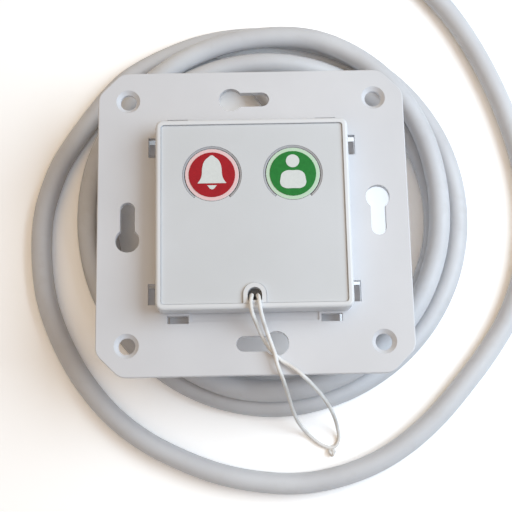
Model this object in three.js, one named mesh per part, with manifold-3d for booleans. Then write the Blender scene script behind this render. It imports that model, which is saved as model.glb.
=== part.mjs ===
// Nurse call wall module: a square mounting plate carries a clip-in call unit with two round
// touch keys and a pull cord, and a round data cable lies coiled behind it. Millimetres, +Z is
// the front, the rear of the back box lies on z = 0 and the plate is centred on X = Y = 0.
import * as THREE from "three";
import { mergeVertices } from "three/addons/utils/BufferGeometryUtils.js";
import Module from "manifold-3d";

const wasm = await Module();
wasm.setup();

// Mounting plate
const PLATE_SIZE = 74.6;
const PLATE_THICKNESS = 1.8;
const PLATE_CORNER_CUT = 5.6;
const PLATE_CORNER_ROUND = 1.6;
const SCREW_PITCH = 60;
const CORNER_HOLE_RADIUS = 2;
const CORNER_SINK_RADIUS = 2.95;
const CORNER_SINK_DEPTH = 0.9;
const KEYHOLE_HEAD_RADIUS = 2.9;
const KEYHOLE_SLOT_RADIUS = 1.8;
const KEYHOLE_HEAD_OFFSET = 4.9;
const KEYHOLE_SLOT_REACH = 2.7;
const WINDOW_LENGTH = 5;
const WINDOW_WIDTH = 1.9;
const WINDOW_OFFSET = 18;
const WINDOW_GAP = 0.4;
const RELIEF_LENGTH = 30;
const RELIEF_DEPTH = 0.4;

// Back box
const BOX_DEPTH = 25.2;
const BOX_INSET = 0.35;
const BOX_WALL = 1.4;
const BOX_FLOOR = 2;
const BOX_CORNER_CUT = 9;
const POST_RADIUS = 3.9;
const COUNTERBORE_DEPTH = 2.4;
const HOOK_WIDTH = 4.4;
const HOOK_THICKNESS = 1.5;
const HOOK_DROP = 2.3;
const HOOK_LIP = 0.2;

// Front housing
const FRONT_SIZE = 45.5;
const FRONT_HEIGHT = 6.5;
const FRONT_WALL = 1.6;
const FRONT_CORNER = 2;
const FRONT_BEVEL = 0.7;
const RIM_WIDTH = 1.25;
const RIM_HEIGHT = 0.75;
const FACE_THICKNESS = 1.6;
const BOSS_RADIUS = 2.5;
const LABEL_THICKNESS = 0.28;
const LABEL_GAP = 0.15;

// Screws that join the two housings
const SCREW_RADIUS = 1.1;
const SCREW_HEAD_RADIUS = 2.2;
const SCREW_HEAD_HEIGHT = 1.7;
const SCREW_CLEARANCE = 0.4;
const SCREW_GRIP = 5.2;
const TOP_SCREW_EDGE = 3.5;
const LOW_SCREW_EDGE = 6.8;

// Keys
const KEY_PITCH = 19;
const KEY_Y = 9.2;
const KEY_RADIUS = 6.35;
const KEY_GROOVE = 0.65;
const KEY_SEAM = 0.1;
const KEY_OPEN_ANGLE = 37;
const KEY_PROUD = 0.25;
const KEY_DISC_RADIUS = 5.45;
const KEY_DISC_THICKNESS = 0.12;
const SYMBOL_THICKNESS = 0.1;
const HINGE_REACH = 8.4;
const HINGE_DROP = 1.2;
const HINGE_RADIUS = 0.8;
const HINGE_GAP = 0.3;
const ARM_WIDTH = 5;
const ARM_THICKNESS = 1;
const LUG_WIDTH = 1.2;
const LUG_LENGTH = 3;
const FOOT_RADIUS = 1.6;
const FOOT_GAP = 0.15;

// Circuit board and what stands on it
const BOARD_THICKNESS = 1.6;
const BOARD_GAP = 0.4;
const BOARD_DROP = 1.4;
const SWITCH_SIZE = 6;
const SWITCH_HEIGHT = 3.5;
const PLUNGER_RADIUS = 1.7;
const PLUNGER_HEIGHT = 2.9;
const PLUNGER_PROUD = 1.6;
const PLUNGER_GAP = 0.35;
const PLUNGER_ROOM = 0.8;
const PULL_SWITCH_HEIGHT = 3.2;
const PULL_PLUNGER_HEIGHT = 1.7;
const PULL_PLUNGER_PROUD = 0.5;
const BUZZER_RADIUS = 4.5;
const BUZZER_HEIGHT = 3.5;
const BUZZER_GAP = 2.5;
const TERMINAL_LENGTH = 20;
const TERMINAL_WIDTH = 7;
const TERMINAL_HEIGHT = 8;

// Pull cord, its eyelet and its slider
const EYELET_EDGE = 3.35;
const EYELET_OPENING = 1.65;
const EYELET_WALL = 0.4;
const EYELET_FLANGE = 1;
const EYELET_FOOT = 1.4;
const EYELET_PROUD = 0.9;
const PULL_CORD_RADIUS = 0.5;
const SLIDER_WIDTH = 6;
const SLIDER_THICKNESS = 1.2;
const SLIDER_LENGTH = 8.9;
const GUIDE_WALL = 1.2;
const GUIDE_GAP = 0.3;
const PULL_SWITCH_REACH = 5.9;
const SPRING_RADIUS = 1.5;
const SPRING_WIRE = 0.25;

// Data cable, its strain relief, its coil and its plug
const CABLE_RADIUS = 2.7;
const CABLE_GAP = 0.3;
const RELIEF_EDGE = 1;
const RELIEF_Z = 6.5;
const RELIEF_SLEEVE = 6.5;
const RELIEF_FLANGE_RADIUS = 4.4;
const RELIEF_FLANGE_THICKNESS = 1.2;
const CABLE_INSIDE = 10.4;
const COIL_X = 64;
const COIL_Y = 113.5;
const COIL_RADIUS = 30;
const COIL_SIDE = 11.4;
const COIL_LIFT = 1;
const TIE_WIDTH = 4;
const TIE_THICKNESS = 0.6;
const TIE_GAP = 0.3;
const BOOT_LENGTH = 11;
const BOOT_RADIUS = 4;
const PLUG_LENGTH = 21.5;
const PLUG_WIDTH = 11.7;
const PLUG_HEIGHT = 6.6;
const PLUG_CONTACTS = 8;
const CONTACT_PITCH = 1.02;
const LATCH_LENGTH = 13;
const LATCH_GAP = 0.25;

// Heights and places that follow from the sizes above
const plateBack = BOX_DEPTH;
const plateFront = plateBack + PLATE_THICKNESS;
const rimTop = plateFront + FRONT_HEIGHT;
const faceTop = rimTop - RIM_HEIGHT;
const faceUnder = faceTop - FACE_THICKNESS;
const keyTop = faceTop + KEY_PROUD;
const boardTop = plateBack - BOARD_DROP;
const boardUnder = boardTop - BOARD_THICKNESS;
const hingeZ = faceUnder - HINGE_DROP;
const switchTop = boardTop + SWITCH_HEIGHT;
const pullSwitchTop = boardTop + PULL_SWITCH_HEIGHT;
const sliderUnder = pullSwitchTop + PULL_PLUNGER_PROUD + 0.1;
const sliderTop = sliderUnder + SLIDER_THICKNESS;
const frontInner = FRONT_SIZE / 2 - FRONT_WALL;
const boxOuter = FRONT_SIZE / 2 - BOX_INSET;
const boxInner = boxOuter - BOX_WALL;
const eyeletY = EYELET_EDGE - FRONT_SIZE / 2;
const pullSwitchY = eyeletY + PULL_SWITCH_REACH;
const lowScrew = boxInner - LOW_SCREW_EDGE;
const reliefX = boxOuter - BOX_CORNER_CUT - RELIEF_FLANGE_RADIUS - RELIEF_EDGE;
const screwPlaces = [
  [0, boxInner - TOP_SCREW_EDGE],
  [-lowScrew, -lowScrew],
  [lowScrew, -lowScrew],
];
const openingHalf = boxInner;
const windowStart = FRONT_SIZE / 2 + WINDOW_GAP;
const contactRow = PLUG_CONTACTS - 1;

const colours = {
  plate: [0xdfe0e2, 0.45, 0],
  shell: [0xe6e7e8, 0.4, 0],
  label: [0xd6d8db, 0.5, 0],
  red: [0xa1262d, 0.35, 0],
  green: [0x2b7d3c, 0.35, 0],
  mark: [0xe8ebea, 0.4, 0],
  cord: [0xece9e6, 0.9, 0],
  board: [0x1f6b3a, 0.6, 0],
  black: [0x202124, 0.5, 0],
  steel: [0xb9bcc0, 0.35, 0.9],
  gold: [0xd9a441, 0.3, 1],
  cable: [0xc9c8c8, 0.5, 0],
  clear: [0xdde6ea, 0.2, 0],
  lamp: [0xf2efe0, 0.3, 0],
};
const materials = Object.fromEntries(
  Object.entries(colours).map(([name, [color, roughness, metalness]]) => [
    name,
    new THREE.MeshStandardMaterial({ name, color, roughness, metalness }),
  ]),
);

// Shapes and solids

function solid(geometry) {
  const bare = geometry.index ? geometry.clone() : geometry;
  bare.deleteAttribute("normal");
  bare.deleteAttribute("uv");
  const merged = mergeVertices(bare, 1e-4);
  return new wasm.Manifold(
    new wasm.Mesh({
      numProp: 3,
      vertProperties: new Float32Array(merged.attributes.position.array),
      triVerts: new Uint32Array(merged.index.array),
    }),
  );
}

function geometryOf(body) {
  const mesh = body.getMesh();
  const geometry = new THREE.BufferGeometry();
  geometry.setAttribute("position", new THREE.BufferAttribute(new Float32Array(mesh.vertProperties), 3));
  geometry.setIndex(new THREE.BufferAttribute(new Uint32Array(mesh.triVerts), 1));
  geometry.computeVertexNormals();
  return geometry;
}

function box(x0, x1, y0, y1, z0, z1) {
  const shape = new THREE.BoxGeometry(x1 - x0, y1 - y0, z1 - z0);
  return solid(shape.translate((x0 + x1) / 2, (y0 + y1) / 2, (z0 + z1) / 2));
}

function drum(radius, z0, z1, x = 0, y = 0, segments = 24, topRadius = radius) {
  const shape = new THREE.CylinderGeometry(topRadius, radius, z1 - z0, segments);
  return solid(shape.rotateX(Math.PI / 2).translate(x, y, (z0 + z1) / 2));
}

function prism(shape, z0, z1, curveSegments = 6) {
  const options = { depth: z1 - z0, bevelEnabled: false, curveSegments };
  return solid(new THREE.ExtrudeGeometry(shape, options).translate(0, 0, z0));
}

// A prism with its upper edge rounded inwards
function softPrism(shape, z0, z1, bevel, curveSegments = 4) {
  const options = {
    depth: z1 - z0,
    bevelThickness: bevel,
    bevelSize: bevel,
    bevelOffset: -bevel,
    bevelSegments: 3,
    curveSegments,
  };
  const whole = solid(new THREE.ExtrudeGeometry(shape, options).translate(0, 0, z0 - bevel));
  return whole.subtract(box(-PLATE_SIZE, PLATE_SIZE, -PLATE_SIZE, PLATE_SIZE, z0 - 3 * bevel, z0));
}

function roundedPolygon(points, radius) {
  const shape = new THREE.Shape();
  points.forEach((point, i) => {
    const before = points[(i + points.length - 1) % points.length];
    const after = points[(i + 1) % points.length];
    const corner = new THREE.Vector2(...point);
    const enter = new THREE.Vector2(...before).sub(corner).setLength(radius).add(corner);
    const leave = new THREE.Vector2(...after).sub(corner).setLength(radius).add(corner);
    if (i === 0) shape.moveTo(enter.x, enter.y);
    else shape.lineTo(enter.x, enter.y);
    shape.quadraticCurveTo(corner.x, corner.y, leave.x, leave.y);
  });
  shape.closePath();
  return shape;
}

function square(half, radius) {
  const corners = [
    [-half, -half],
    [half, -half],
    [half, half],
    [-half, half],
  ];
  return roundedPolygon(corners, radius);
}

function cutSquare(half, cut, radius) {
  const inner = half - cut;
  const corners = [
    [-inner, -half],
    [inner, -half],
    [half, -inner],
    [half, inner],
    [inner, half],
    [-inner, half],
    [-half, inner],
    [-half, -inner],
  ];
  return roundedPolygon(corners, radius);
}

// An upright arch: a half circle on straight legs that end at a flat foot
function arch(halfWidth, foot) {
  const shape = new THREE.Shape();
  shape.moveTo(-halfWidth, eyeletY - foot);
  shape.lineTo(halfWidth, eyeletY - foot);
  shape.lineTo(halfWidth, eyeletY);
  shape.absarc(0, eyeletY, halfWidth, 0, Math.PI, false);
  shape.closePath();
  return shape;
}

function aroundFour(make) {
  return [0, 1, 2, 3].map((turn) => make().rotate([0, 0, -90 * turn]));
}

function cutAll(body, tools) {
  return tools.reduce((rest, tool) => rest.subtract(tool), body);
}

function joinAll(bodies) {
  return bodies.reduce((whole, body) => whole.add(body));
}

// A rod along X or Y, made from an upright drum
function rodAlongX(radius, x0, x1, y, z, segments = 12) {
  return drum(radius, x0, x1, 0, 0, segments).rotate([0, 90, 0]).translate([0, y, z]);
}

function rodAlongY(radius, y0, y1, x, z, segments = 24, farRadius = radius) {
  return drum(radius, y0, y1, 0, 0, segments, farRadius).rotate([-90, 0, 0]).translate([x, 0, z]);
}

function circle(radius, sides) {
  const shape = new THREE.Shape();
  for (let i = 0; i < sides; i += 1) {
    const angle = (2 * Math.PI * i) / sides;
    const point = [radius * Math.cos(angle), radius * Math.sin(angle)];
    if (i === 0) shape.moveTo(...point);
    else shape.lineTo(...point);
  }
  shape.closePath();
  return shape;
}

// A round tube along a smooth curve through the points
function tube(points, radius, steps, sides = 8) {
  const curve = new THREE.CatmullRomCurve3(points.map((point) => new THREE.Vector3(...point)));
  return new THREE.ExtrudeGeometry(circle(radius, sides), { steps, extrudePath: curve });
}

const group = new THREE.Group();

function add(name, body, material) {
  const geometry = body.isBufferGeometry ? body : geometryOf(body);
  const mesh = new THREE.Mesh(geometry, materials[material]);
  mesh.name = name;
  group.add(mesh);
  return mesh;
}

// Mounting plate: a square sheet with cut corners, a screw hole in each corner, a keyhole in
// the middle of each side, and two slots per side beside the opening for the call unit

function keyhole() {
  const y = SCREW_PITCH / 2;
  const z0 = plateBack - 1;
  const z1 = plateFront + 1;
  const head = drum(KEYHOLE_HEAD_RADIUS, z0, z1, -KEYHOLE_HEAD_OFFSET, y, 24);
  const end = drum(KEYHOLE_SLOT_RADIUS, z0, z1, KEYHOLE_SLOT_REACH, y, 16);
  const low = y - KEYHOLE_SLOT_RADIUS;
  const high = y + KEYHOLE_SLOT_RADIUS;
  return head.add(end).add(box(-KEYHOLE_HEAD_OFFSET, KEYHOLE_SLOT_REACH, low, high, z0, z1));
}

function clipWindows() {
  const pair = [-1, 1].map((side) => {
    const x = side * WINDOW_OFFSET;
    const half = WINDOW_LENGTH / 2;
    const y1 = windowStart + WINDOW_WIDTH;
    return box(x - half, x + half, windowStart, y1, plateBack - 1, plateFront + 1);
  });
  return pair[0].add(pair[1]);
}

function cornerHole() {
  const at = SCREW_PITCH / 2;
  const hole = drum(CORNER_HOLE_RADIUS, plateBack - 1, plateFront + 1, at, at, 20);
  const foot = plateFront - CORNER_SINK_DEPTH;
  const sink = drum(CORNER_HOLE_RADIUS, foot, plateFront + 0.02, at, at, 20, CORNER_SINK_RADIUS);
  return hole.add(sink);
}

// A shallow strip beside the opening, at the top and the bottom only
function endRelief() {
  const half = RELIEF_LENGTH / 2;
  const y1 = windowStart + WINDOW_WIDTH - WINDOW_GAP;
  return box(-half, half, openingHalf - 1, y1, plateFront - RELIEF_DEPTH, plateFront + 1);
}

function mountingPlate() {
  const outline = cutSquare(PLATE_SIZE / 2, PLATE_CORNER_CUT, PLATE_CORNER_ROUND);
  const sheet = softPrism(outline, plateBack, plateFront, 0.3, 4);
  const opening = prism(square(openingHalf, 1), plateBack - 1, plateFront + 1);
  const cuts = [keyhole, clipWindows, cornerHole].flatMap(aroundFour);
  const reliefs = [endRelief(), endRelief().rotate([0, 0, 180])];
  return cutAll(sheet.subtract(opening), [...cuts, ...reliefs]);
}

add("mounting_plate", mountingPlate(), "plate");

// Keys: each is a round cap on an arm that turns on two short trunnions below the face. The
// face has a wide groove round the cap, closed to a seam at the bottom, where the arm leaves.

function keyGap() {
  const open = (KEY_OPEN_ANGLE * Math.PI) / 180;
  const start = -Math.PI / 2 + open;
  const end = (3 * Math.PI) / 2 - open;
  const shape = new THREE.Shape();
  shape.absarc(0, 0, KEY_RADIUS + KEY_GROOVE, start, end, false);
  shape.absarc(0, 0, KEY_RADIUS + KEY_SEAM, end, 2 * Math.PI + start, false);
  shape.closePath();
  return shape;
}

function keyCuts() {
  return [-1, 1].map((side) =>
    prism(keyGap(), faceUnder - 1, rimTop + 1, 20).translate([(side * KEY_PITCH) / 2, KEY_Y, 0]),
  );
}

function hingeLugs(x) {
  const y = KEY_Y - HINGE_REACH;
  const start = ARM_WIDTH / 2 + HINGE_GAP;
  const bottom = hingeZ - HINGE_RADIUS - HINGE_GAP - 0.5;
  const lugs = [-1, 1].map((side) => {
    const x0 = Math.min(side * start, side * (start + LUG_WIDTH));
    const half = LUG_LENGTH / 2;
    return box(x + x0, x + x0 + LUG_WIDTH, y - half, y + half, bottom, faceUnder + 0.5);
  });
  const hole = rodAlongX(HINGE_RADIUS + HINGE_GAP, x - start - 2, x + start + 2, y, hingeZ, 16);
  return lugs[0].add(lugs[1]).subtract(hole);
}

// Front housing: a shallow square shell with a raised rim round the recessed face

function frontHousing() {
  const shell = softPrism(square(FRONT_SIZE / 2, FRONT_CORNER), plateFront, rimTop, FRONT_BEVEL, 5);
  const cavity = prism(square(frontInner, 0.8), plateFront - 1, faceUnder, 3);
  const recess = prism(square(FRONT_SIZE / 2 - RIM_WIDTH, 0.8), faceTop, rimTop + 1, 3);
  const sleeveRoom = arch(EYELET_OPENING + EYELET_WALL + 0.2, EYELET_FOOT + EYELET_WALL + 0.2);
  const eyeletHole = prism(sleeveRoom, faceUnder - 1, rimTop + 1, 10);
  const bosses = screwPlaces.map(([x, y]) => drum(BOSS_RADIUS, boardTop, faceUnder + 0.5, x, y, 16));
  const pilots = screwPlaces.map(([x, y]) =>
    drum(SCREW_RADIUS + SCREW_CLEARANCE, boardTop - 1, boardTop + SCREW_GRIP + 0.6, x, y, 12),
  );
  const lugs = [-1, 1].map((side) => hingeLugs((side * KEY_PITCH) / 2));
  const hollow = cutAll(shell, [cavity, recess, eyeletHole, ...keyCuts()]);
  return cutAll(joinAll([hollow, ...bosses, ...lugs]), pilots);
}

add("front_housing", frontHousing(), "shell");

function frontLabel() {
  const half = FRONT_SIZE / 2 - RIM_WIDTH - LABEL_GAP;
  const film = prism(square(half, 0.7), faceTop, faceTop + LABEL_THICKNESS, 3);
  const notch = EYELET_OPENING + EYELET_FLANGE + LABEL_GAP;
  const away = prism(arch(notch, EYELET_FOOT + EYELET_FLANGE + 2), faceTop - 1, rimTop, 10);
  return cutAll(film, [away, ...keyCuts()]);
}

add("front_label", frontLabel(), "label");

function key(x) {
  const y = KEY_Y - HINGE_REACH;
  const half = ARM_WIDTH / 2;
  const armTop = hingeZ + ARM_THICKNESS / 2 + 0.1;
  const armUnder = armTop - ARM_THICKNESS;
  const cap = drum(KEY_RADIUS, faceUnder, keyTop, x, KEY_Y, 40);
  const foot = drum(FOOT_RADIUS, switchTop + PLUNGER_PROUD + FOOT_GAP, faceUnder + 0.3, x, KEY_Y, 16);
  const arm = box(x - half, x + half, y, KEY_Y - 2.4, armUnder, armTop);
  const neck = box(x - half, x + half, KEY_Y - 5.2, KEY_Y - 2.4, armUnder, faceUnder + 0.1);
  const reach = half + HINGE_GAP + LUG_WIDTH;
  const trunnions = rodAlongX(HINGE_RADIUS, x - reach, x + reach, y, hingeZ);
  return joinAll([cap, foot, arm, neck, trunnions]);
}

// Bell: a flared cup with a small half-round clapper below it
function bell(size) {
  const shape = new THREE.Shape();
  shape.moveTo(-0.63 * size, -0.41 * size);
  shape.lineTo(0.63 * size, -0.41 * size);
  shape.quadraticCurveTo(0.48 * size, -0.2 * size, 0.46 * size, 0.2 * size);
  shape.quadraticCurveTo(0.44 * size, 0.5 * size, 0.2 * size, 0.7 * size);
  shape.quadraticCurveTo(0, 1 * size, -0.2 * size, 0.7 * size);
  shape.quadraticCurveTo(-0.44 * size, 0.5 * size, -0.46 * size, 0.2 * size);
  shape.quadraticCurveTo(-0.48 * size, -0.2 * size, -0.63 * size, -0.41 * size);
  return shape;
}

// Person: domed shoulders below a round head, joined by a narrow neck so that it is one piece
function person(size) {
  const shape = new THREE.Shape();
  shape.moveTo(-0.54 * size, -0.67 * size);
  shape.lineTo(0.54 * size, -0.67 * size);
  shape.quadraticCurveTo(0.54 * size, 0.13 * size, 0.06 * size, 0.13 * size);
  shape.lineTo(0.06 * size, 0.25 * size);
  shape.absarc(0, 0.54 * size, 0.3 * size, -1.37, Math.PI + 1.37, false);
  shape.lineTo(-0.06 * size, 0.13 * size);
  shape.quadraticCurveTo(-0.54 * size, 0.13 * size, -0.54 * size, -0.67 * size);
  return shape;
}

const keyStyles = [
  { name: "call", side: -1, colour: "red", mark: bell },
  { name: "presence", side: 1, colour: "green", mark: person },
];

for (const { name, side, colour, mark } of keyStyles) {
  const x = (side * KEY_PITCH) / 2;
  const discTop = keyTop + KEY_DISC_THICKNESS;
  add(`${name}_key`, key(x), "shell");
  add(`${name}_disc`, drum(KEY_DISC_RADIUS, keyTop, discTop, x, KEY_Y, 40), colour);
  const symbol = prism(mark(KEY_DISC_RADIUS), discTop, discTop + SYMBOL_THICKNESS, 6);
  add(`${name}_symbol`, symbol.translate([x, KEY_Y, 0]), "mark");
}

// Eyelet: an arched bushing that leads the pull cord out of the face

function cordEyelet() {
  const flangeShape = arch(EYELET_OPENING + EYELET_FLANGE, EYELET_FOOT + EYELET_FLANGE - 0.35);
  const sleeveShape = arch(EYELET_OPENING + EYELET_WALL, EYELET_FOOT + EYELET_WALL);
  const flange = prism(flangeShape, faceTop, faceTop + EYELET_PROUD, 10);
  const sleeve = prism(sleeveShape, faceUnder, faceTop + 0.1, 10);
  const passage = prism(arch(EYELET_OPENING, EYELET_FOOT), faceUnder - 1, rimTop + 1, 10);
  return flange.add(sleeve).subtract(passage);
}

add("cord_eyelet", cordEyelet(), "shell");

// Circuit board with its switches, lamps, buzzer, controller and cable terminals

function circuitBoard() {
  const outline = cutSquare(boxInner - BOARD_GAP, BOX_CORNER_CUT - 0.4, 0.5);
  const holes = screwPlaces.map(([x, y]) =>
    drum(SCREW_RADIUS + SCREW_CLEARANCE, boardUnder - 1, boardTop + 1, x, y, 12),
  );
  return cutAll(prism(outline, boardUnder, boardTop, 2), holes);
}

add("circuit_board", circuitBoard(), "board");

function switchBody(x, y, top, well) {
  const half = SWITCH_SIZE / 2;
  const body = box(x - half, x + half, y - half, y + half, boardTop, top);
  return body.subtract(drum(PLUNGER_RADIUS + PLUNGER_GAP, well, top + 1, x, y, 16));
}

for (const { name, side } of keyStyles) {
  const x = (side * KEY_PITCH) / 2;
  const plungerTop = switchTop + PLUNGER_PROUD;
  const plungerFoot = plungerTop - PLUNGER_HEIGHT;
  add(`${name}_switch`, switchBody(x, KEY_Y, switchTop, plungerFoot - PLUNGER_ROOM), "black");
  add(`${name}_plunger`, drum(PLUNGER_RADIUS, plungerFoot, plungerTop, x, KEY_Y, 16), "clear");
  const lampY = KEY_Y + SWITCH_SIZE / 2 + 2;
  const base = box(x - 1.6, x + 1.6, lampY - 1, lampY + 1, boardTop, boardTop + 0.8);
  add(`${name}_lamp`, base.add(drum(0.8, boardTop + 0.7, boardTop + 1.8, x, lampY, 12, 0.6)), "lamp");
}

const pullPlungerTop = pullSwitchTop + PULL_PLUNGER_PROUD;
const pullPlungerFoot = pullPlungerTop - PULL_PLUNGER_HEIGHT;
const pullPlunger = drum(PLUNGER_RADIUS, pullPlungerFoot, pullPlungerTop, 0, pullSwitchY, 16);
add("pull_switch", switchBody(0, pullSwitchY, pullSwitchTop, pullPlungerFoot - PLUNGER_ROOM), "black");
add("pull_plunger", pullPlunger, "clear");

function buzzer() {
  const y = pullSwitchY + SWITCH_SIZE / 2 + BUZZER_GAP + BUZZER_RADIUS;
  const top = boardTop + BUZZER_HEIGHT;
  const can = drum(BUZZER_RADIUS, boardTop, top, 0, y, 24);
  return can.subtract(drum(BUZZER_RADIUS / 5, top - 1.5, top + 1, 0, y, 10));
}

add("buzzer", buzzer(), "black");
add("controller_chip", box(-15.5, -8.5, -7.5, -0.5, boardTop, boardTop + 1.4), "black");

// Pull slider: a short bar between two guide cheeks. The cord is knotted below it, so a pull
// lifts the bar against its spring and lets the switch plunger rise.

const sliderFoot = eyeletY - 1.3;

function pullSlider() {
  const half = SLIDER_WIDTH / 2;
  const bar = box(-half, half, sliderFoot, sliderFoot + SLIDER_LENGTH, sliderUnder, sliderTop);
  return bar.subtract(box(-1.4, 1.4, eyeletY - 0.8, eyeletY + 0.8, sliderUnder - 1, sliderTop + 1));
}

add("pull_slider", pullSlider(), "shell");

function pullGuide() {
  const inner = SLIDER_WIDTH / 2 + GUIDE_GAP;
  const outer = inner + GUIDE_WALL;
  const y1 = sliderFoot + SLIDER_LENGTH;
  const top = faceUnder - GUIDE_GAP;
  const cheeks = [
    box(-outer, -inner, sliderFoot + 0.3, y1, boardTop, top),
    box(inner, outer, sliderFoot + 0.3, y1, boardTop, top),
  ];
  const tie = box(-outer, outer, sliderFoot + 0.3, sliderFoot + 3.5, boardTop, boardTop + 0.9);
  return joinAll([...cheeks, tie]);
}

add("pull_guide", pullGuide(), "shell");

function pullSpring() {
  const z0 = sliderTop + SPRING_WIRE + 0.1;
  const z1 = faceUnder - SPRING_WIRE - 0.1;
  const turns = 3;
  const count = turns * 10;
  const points = [];
  for (let i = 0; i <= count; i += 1) {
    const angle = (2 * Math.PI * turns * i) / count;
    const y = pullSwitchY + SPRING_RADIUS * Math.sin(angle);
    points.push([SPRING_RADIUS * Math.cos(angle), y, z0 + ((z1 - z0) * i) / count]);
  }
  return tube(points, SPRING_WIRE, count, 6);
}

add("pull_spring", pullSpring(), "steel");

function beadAt(x, y, z, rx, ry, rz) {
  const ball = new THREE.SphereGeometry(1, 12, 8).scale(rx, ry, rz).translate(x, y, z);
  return solid(ball);
}

add("pull_knot", beadAt(0, eyeletY, sliderUnder - 1.05, 1.6, 1.15, 0.95), "cord");

// The cord goes out through the eyelet, over the rim and the plate, down across the cable,
// round the end of its loop and back
const knotTop = sliderUnder - 0.1 + 0.2;
const pullCordRoute = [
  [-0.62, eyeletY, knotTop],
  [-0.62, eyeletY, faceUnder],
  [-0.75, -19.9, 33.6],
  [-1.0, -21.6, 34.35],
  [-0.7, -23.7, 33.9],
  [0.3, -26.0, 31.4],
  [1.4, -28.2, 28.9],
  [2.7, -30.4, 27.75],
  [4.1, -32.3, 27.65],
  [5.8, -34.0, 27.7],
  [9.0, -36.2, 28.0],
  [10.9, -37.8, 27.5],
  [13.0, -39.3, 23.2],
  [16.0, -41.9, 16.4],
  [18.6, -45.0, 9.6],
  [20.4, -48.6, 2.8],
  [20.9, -51.4, 0.75],
  [20.2, -53.2, 0.6],
  [18.9, -53.8, 0.6],
  [16.4, -53.0, 0.65],
  [13.2, -50.5, 1.0],
  [10.9, -48.0, 4.6],
  [9.3, -45.4, 9.0],
  [8.1, -42.4, 13.8],
  [7.0, -39.9, 20.6],
  [6.1, -38.2, 26.6],
  [5.4, -36.6, 28.3],
  [4.8, -34.8, 28.8],
  [4.35, -32.7, 29.0],
  [3.5, -30.1, 29.2],
  [2.5, -27.3, 30.4],
  [1.6, -24.7, 33.1],
  [1.1, -22.4, 34.35],
  [0.85, -20.1, 33.75],
  [0.62, eyeletY, faceUnder],
  [0.62, eyeletY, knotTop],
];
add("pull_cord", tube(pullCordRoute, PULL_CORD_RADIUS, 110, 8), "cord");
add("loop_knot", beadAt(19.1, -55.6, 1.0, 1.0, 1.0, 0.95), "cord");

// Back box: an open box with cut corners that fits a round wall box, three screw posts that
// carry the board, a hole for the cable in its upper wall, and a pair of clip hooks at each
// cut corner that reach out below the plate's windows

function clipHooks() {
  const top = plateBack - HOOK_DROP;
  const y0 = boxInner - BOX_CORNER_CUT;
  const y1 = windowStart + WINDOW_WIDTH + HOOK_LIP;
  const pair = [-1, 1].map((side) => {
    const x = side * WINDOW_OFFSET;
    return box(x - HOOK_WIDTH / 2, x + HOOK_WIDTH / 2, y0, y1, top - HOOK_THICKNESS, top);
  });
  return pair[0].add(pair[1]);
}

function rearHousing() {
  const half = boxOuter;
  const body = prism(cutSquare(half, BOX_CORNER_CUT, 1), 0, BOX_DEPTH, 3);
  const cavity = prism(cutSquare(boxInner, BOX_CORNER_CUT - 0.6, 0.6), BOX_FLOOR, BOX_DEPTH + 1, 2);
  const inside = prism(cutSquare(half - 0.3, BOX_CORNER_CUT, 0.8), 0, BOX_DEPTH, 2);
  const posts = screwPlaces.map(([x, y]) =>
    drum(POST_RADIUS, BOX_FLOOR - 0.5, boardUnder, x, y, 20).intersect(inside),
  );
  const bores = screwPlaces.map(([x, y]) =>
    drum(SCREW_RADIUS + SCREW_CLEARANCE, -1, boardUnder + 1, x, y, 12),
  );
  const sinks = screwPlaces.map(([x, y]) =>
    drum(SCREW_HEAD_RADIUS + 0.3, -1, COUNTERBORE_DEPTH, x, y, 16),
  );
  const neck = CABLE_RADIUS + CABLE_GAP + 0.3;
  const entry = rodAlongY(neck + 0.3, boxInner - 2, half + 1, reliefX, RELIEF_Z, 24);
  const shell = joinAll([body, ...aroundFour(clipHooks)]).subtract(cavity);
  return cutAll(joinAll([shell, ...posts]), [...bores, ...sinks, entry]);
}

add("rear_housing", rearHousing(), "shell");

screwPlaces.forEach(([x, y], i) => {
  const headFoot = COUNTERBORE_DEPTH - SCREW_HEAD_HEIGHT;
  const head = drum(SCREW_HEAD_RADIUS, headFoot, COUNTERBORE_DEPTH, x, y, 16);
  const shank = drum(SCREW_RADIUS, COUNTERBORE_DEPTH - 0.1, boardTop + SCREW_GRIP, x, y, 10);
  const slot = box(x - 1.5, x + 1.5, y - 0.25, y + 0.25, headFoot - 1, headFoot + 0.6);
  const cross = box(x - 0.25, x + 0.25, y - 1.5, y + 1.5, headFoot - 1, headFoot + 0.6);
  add(`housing_screw_${i + 1}`, cutAll(head.add(shank), [slot, cross]), "steel");
});

// Strain relief: a grommet with a flange on each side of the wall and a short tapered sleeve

const sleeveEnd = boxOuter + RELIEF_SLEEVE;

function strainRelief() {
  const bore = CABLE_RADIUS + CABLE_GAP;
  const innerFace = boxInner - 0.3;
  const flanges = [
    rodAlongY(RELIEF_FLANGE_RADIUS, boxOuter, boxOuter + RELIEF_FLANGE_THICKNESS, reliefX, RELIEF_Z),
    rodAlongY(RELIEF_FLANGE_RADIUS, innerFace - RELIEF_FLANGE_THICKNESS, innerFace, reliefX, RELIEF_Z),
  ];
  const neck = rodAlongY(bore + 0.3, innerFace - 0.5, boxOuter + 0.5, reliefX, RELIEF_Z);
  const sleeveStart = boxOuter + RELIEF_FLANGE_THICKNESS - 0.1;
  const sleeve = rodAlongY(bore + 0.9, sleeveStart, sleeveEnd, reliefX, RELIEF_Z, 24, bore + 0.35);
  const passage = rodAlongY(bore, innerFace - 5, sleeveEnd + 1, reliefX, RELIEF_Z);
  return joinAll([...flanges, neck, sleeve]).subtract(passage);
}

add("strain_relief", strainRelief(), "cable");

// Inside the box the jacket lies in a clamp, and its cores go on to the terminals
const jacketEnd = boxOuter - CABLE_INSIDE;

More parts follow.
